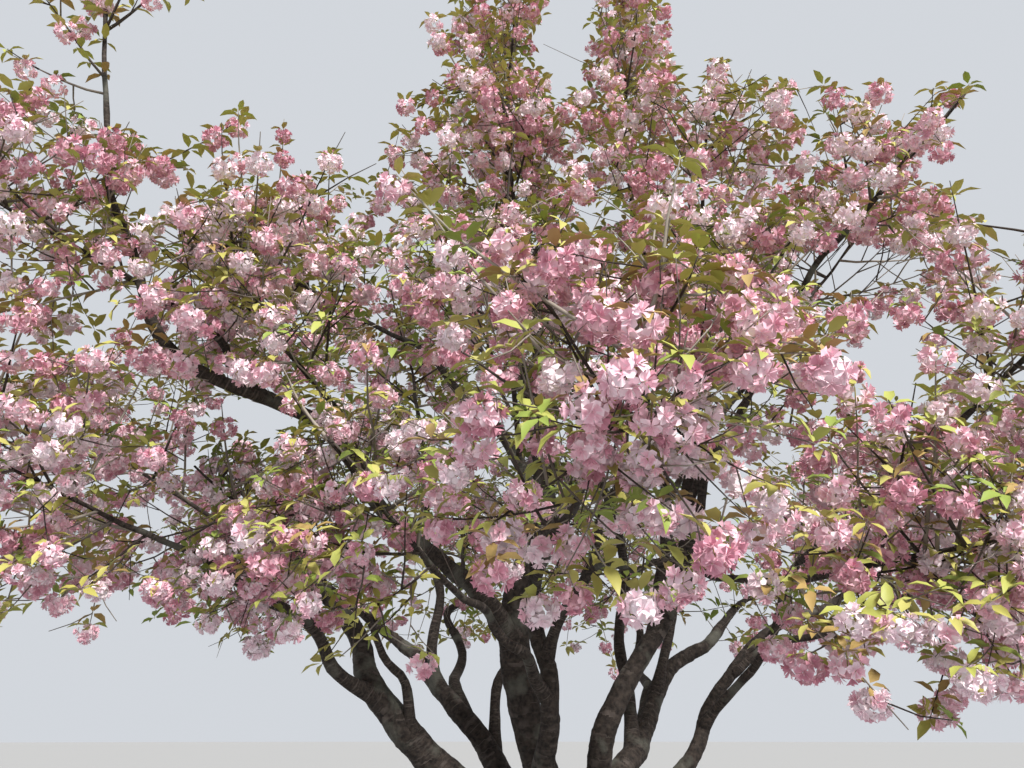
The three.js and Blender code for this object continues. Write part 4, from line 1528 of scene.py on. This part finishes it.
class TwigSettings(bpy.types.PropertyGroup):
    """Twigs"""

    on_stem: a_count("On a stem", "Further twigs on each stem", 6)
    on_twig: a_count("On a twig", "Further shoots on each twig", 5)
    shoots: a_count("On a shoot", "Spurs on each shoot", 2)
    stem_tip: a_length("Stem tip", "Radius of a stem at its tip", 0.006)
    twig_root: a_length("Twig", "Radius of a twig at its root", 0.0105)
    shoot_root: a_length("Shoot", "Radius of a shoot at its root", 0.0062)
    spur_root: a_length("Spur", "Radius of a spur at its root", 0.004)
    twig_tip: a_length("Tips", "Radius of the tips", 0.0022)
    dark: a_colour("Dark bark", "Colour of the darkest twigs", (0.06, 0.047, 0.04))
    grey: a_colour("Grey bark", "Colour of the middling twigs", (0.17, 0.145, 0.125))
    pale: a_colour("Pale bark", "Colour of the palest twigs", (0.32, 0.28, 0.24))


class BlossomSettings(bpy.types.PropertyGroup):
    """Blossom"""

    heads: a_count("Heads", "Most heads of blossom on the tree", 2850, 1)
    sprays: a_count("Sprays", "Most sprays of leaves on the tree", 8000, 1)
    petal: a_length("Petal", "Length of an outer petal, half a flower's width", 0.0325)
    spacing: a_length("Spacing", "From one spur to the next along a twig", 0.1, 0.02)
    clearance: a_length("Clearance", "Least between the spurs of two heads", 0.14, 0.02)
    leaf_clearance: a_length("Leaf clearance", "Least between two sprays of leaves", 0.07, 0.02)
    hang: a_length("Hang", "How far a head's middle hangs below its twig", 0.05)
    parting: a_length("Parting", "From a head's middle to its flowers", 0.052)
    stalk_radius: a_length("Stalk", "Radius of a head's stalk", 0.0025)
    white: a_colour("White", "Palest petals", (0.95, 0.84, 0.89))
    shell: a_colour("Shell", "Pale petals", (0.92, 0.73, 0.8))
    pink: a_colour("Pink", "Middling petals", (0.85, 0.53, 0.62))
    rose: a_colour("Rose", "Deepest petals", (0.66, 0.31, 0.4))
    stalk: a_colour("Stalk", "Stalks of the heads", (0.25, 0.22, 0.06))


class LeafSettings(bpy.types.PropertyGroup):
    """Leaves"""

    length: a_length("Length", "Length of a leaf", 0.104)
    # Brighter than a leaf's own colours: a painted glow for the light that shines through the leaves
    lime: a_colour("Lime", "Yellow-green leaves in the light", (0.46, 0.43, 0.13))
    fresh: a_colour("Fresh", "Fresh green leaves", (0.39, 0.41, 0.1))
    green: a_colour("Green", "Deeper green leaves", (0.26, 0.33, 0.07))
    olive: a_colour("Olive", "Olive leaves", (0.41, 0.38, 0.095))
    bronze: a_colour("Bronze", "Young bronze leaves", (0.39, 0.27, 0.1))


class StageSettings(bpy.types.PropertyGroup):
    """Stage"""

    floor_radius: a_length("Floor", "Radius of the floor", 20 * (CAD_BOX[1] - CAD_BOX[0]).length)
    floor: a_colour("Floor colour", "Colour of the floor", (0.34, 0.34, 0.34))
    backdrop: a_colour("Backdrop", "Colour of the light all round", (0.9, 0.94, 1.0))
    fill: FloatProperty(name="Fill", description="Strength of the light all round", default=0.72)
    key: FloatProperty(name="Key", description="Strength of the key light", default=5.2)
    key_width: FloatProperty(
        name="Key width",
        description="Angle across the key light, which softens its shadows",
        default=math.radians(9),
        subtype="ANGLE",
    )


# Operators


class Build(bpy.types.Operator):
    """Base of the operators that build a piece"""

    bl_options = {"REGISTER", "UNDO"}


class TREE_OT_trunk(Build):
    """Builds the trunk and the main boughs as one skin of bark"""

    bl_idname = "tree.trunk"
    bl_label = "Trunk and main boughs"

    def execute(self, context):
        build_trunk(context.scene.tree_wood)
        return {"FINISHED"}


class TREE_OT_side_boughs(Build):
    """Builds the side boughs and the stems of the masses"""

    bl_idname = "tree.side_boughs"
    bl_label = "Side boughs"

    def execute(self, context):
        build_side_boughs(context.scene.tree_wood)
        return {"FINISHED"}


class TREE_OT_twigs(Build):
    """Builds the twigs of every mass"""

    bl_idname = "tree.twigs"
    bl_label = "Twigs"

    def execute(self, context):
        build_twigs(context.scene.tree_twigs)
        return {"FINISHED"}


class TREE_OT_blossom(Build):
    """Builds the heads of blossom"""

    bl_idname = "tree.blossom"
    bl_label = "Blossom"

    def execute(self, context):
        build_blossom(context.scene.tree_blossom)
        return {"FINISHED"}


class TREE_OT_leaves(Build):
    """Builds the sprays of young leaves"""

    bl_idname = "tree.leaves"
    bl_label = "Leaves"

    def execute(self, context):
        build_leaves(context.scene.tree_leaves)
        return {"FINISHED"}


class TREE_OT_stage(Build):
    """Builds the floor, the lights and the camera"""

    bl_idname = "tree.stage"
    bl_label = "Stage"

    def execute(self, context):
        build_stage(context.scene.tree_stage)
        return {"FINISHED"}


class VIEW3D_PT_tree(bpy.types.Panel):
    """Lists the settings and the operators of the tree"""

    bl_label = "Cherry blossom tree"
    bl_space_type = "VIEW_3D"
    bl_region_type = "UI"
    bl_category = "Tree"

    def draw(self, context):
        for name, operators in PARTS.items():
            box = self.layout.box()
            settings = getattr(context.scene, name)
            box.label(text=SETTINGS[name].__doc__)
            for key in SETTINGS[name].__annotations__:
                box.prop(settings, key)
            for operator in operators:
                box.operator(operator)


SETTINGS = {
    "tree_wood": WoodSettings,
    "tree_twigs": TwigSettings,
    "tree_blossom": BlossomSettings,
    "tree_leaves": LeafSettings,
    "tree_stage": StageSettings,
}
PARTS = {
    "tree_wood": ("tree.trunk", "tree.side_boughs"),
    "tree_twigs": ("tree.twigs",),
    "tree_blossom": ("tree.blossom",),
    "tree_leaves": ("tree.leaves",),
    "tree_stage": ("tree.stage",),
}
CLASSES = (
    *SETTINGS.values(),
    TREE_OT_trunk,
    TREE_OT_side_boughs,
    TREE_OT_twigs,
    TREE_OT_blossom,
    TREE_OT_leaves,
    TREE_OT_stage,
    VIEW3D_PT_tree,
)


def register():
    for kind in CLASSES:
        bpy.utils.register_class(kind)
    for name, kind in SETTINGS.items():
        setattr(bpy.types.Scene, name, PointerProperty(type=kind))


def unregister():
    for name in SETTINGS:
        delattr(bpy.types.Scene, name)
    for kind in reversed(CLASSES):
        bpy.utils.unregister_class(kind)


def main():
    register()
    bpy.ops.tree.stage()
    bpy.ops.tree.trunk()
    bpy.ops.tree.side_boughs()
    bpy.ops.tree.twigs()
    bpy.ops.tree.blossom()
    bpy.ops.tree.leaves()
    boxes = {"cad": CAD_BOX, "visual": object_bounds()}
    {name: [list(corner) for corner in box] for name, box in boxes.items()}


if __name__ == "__main__":
    main()
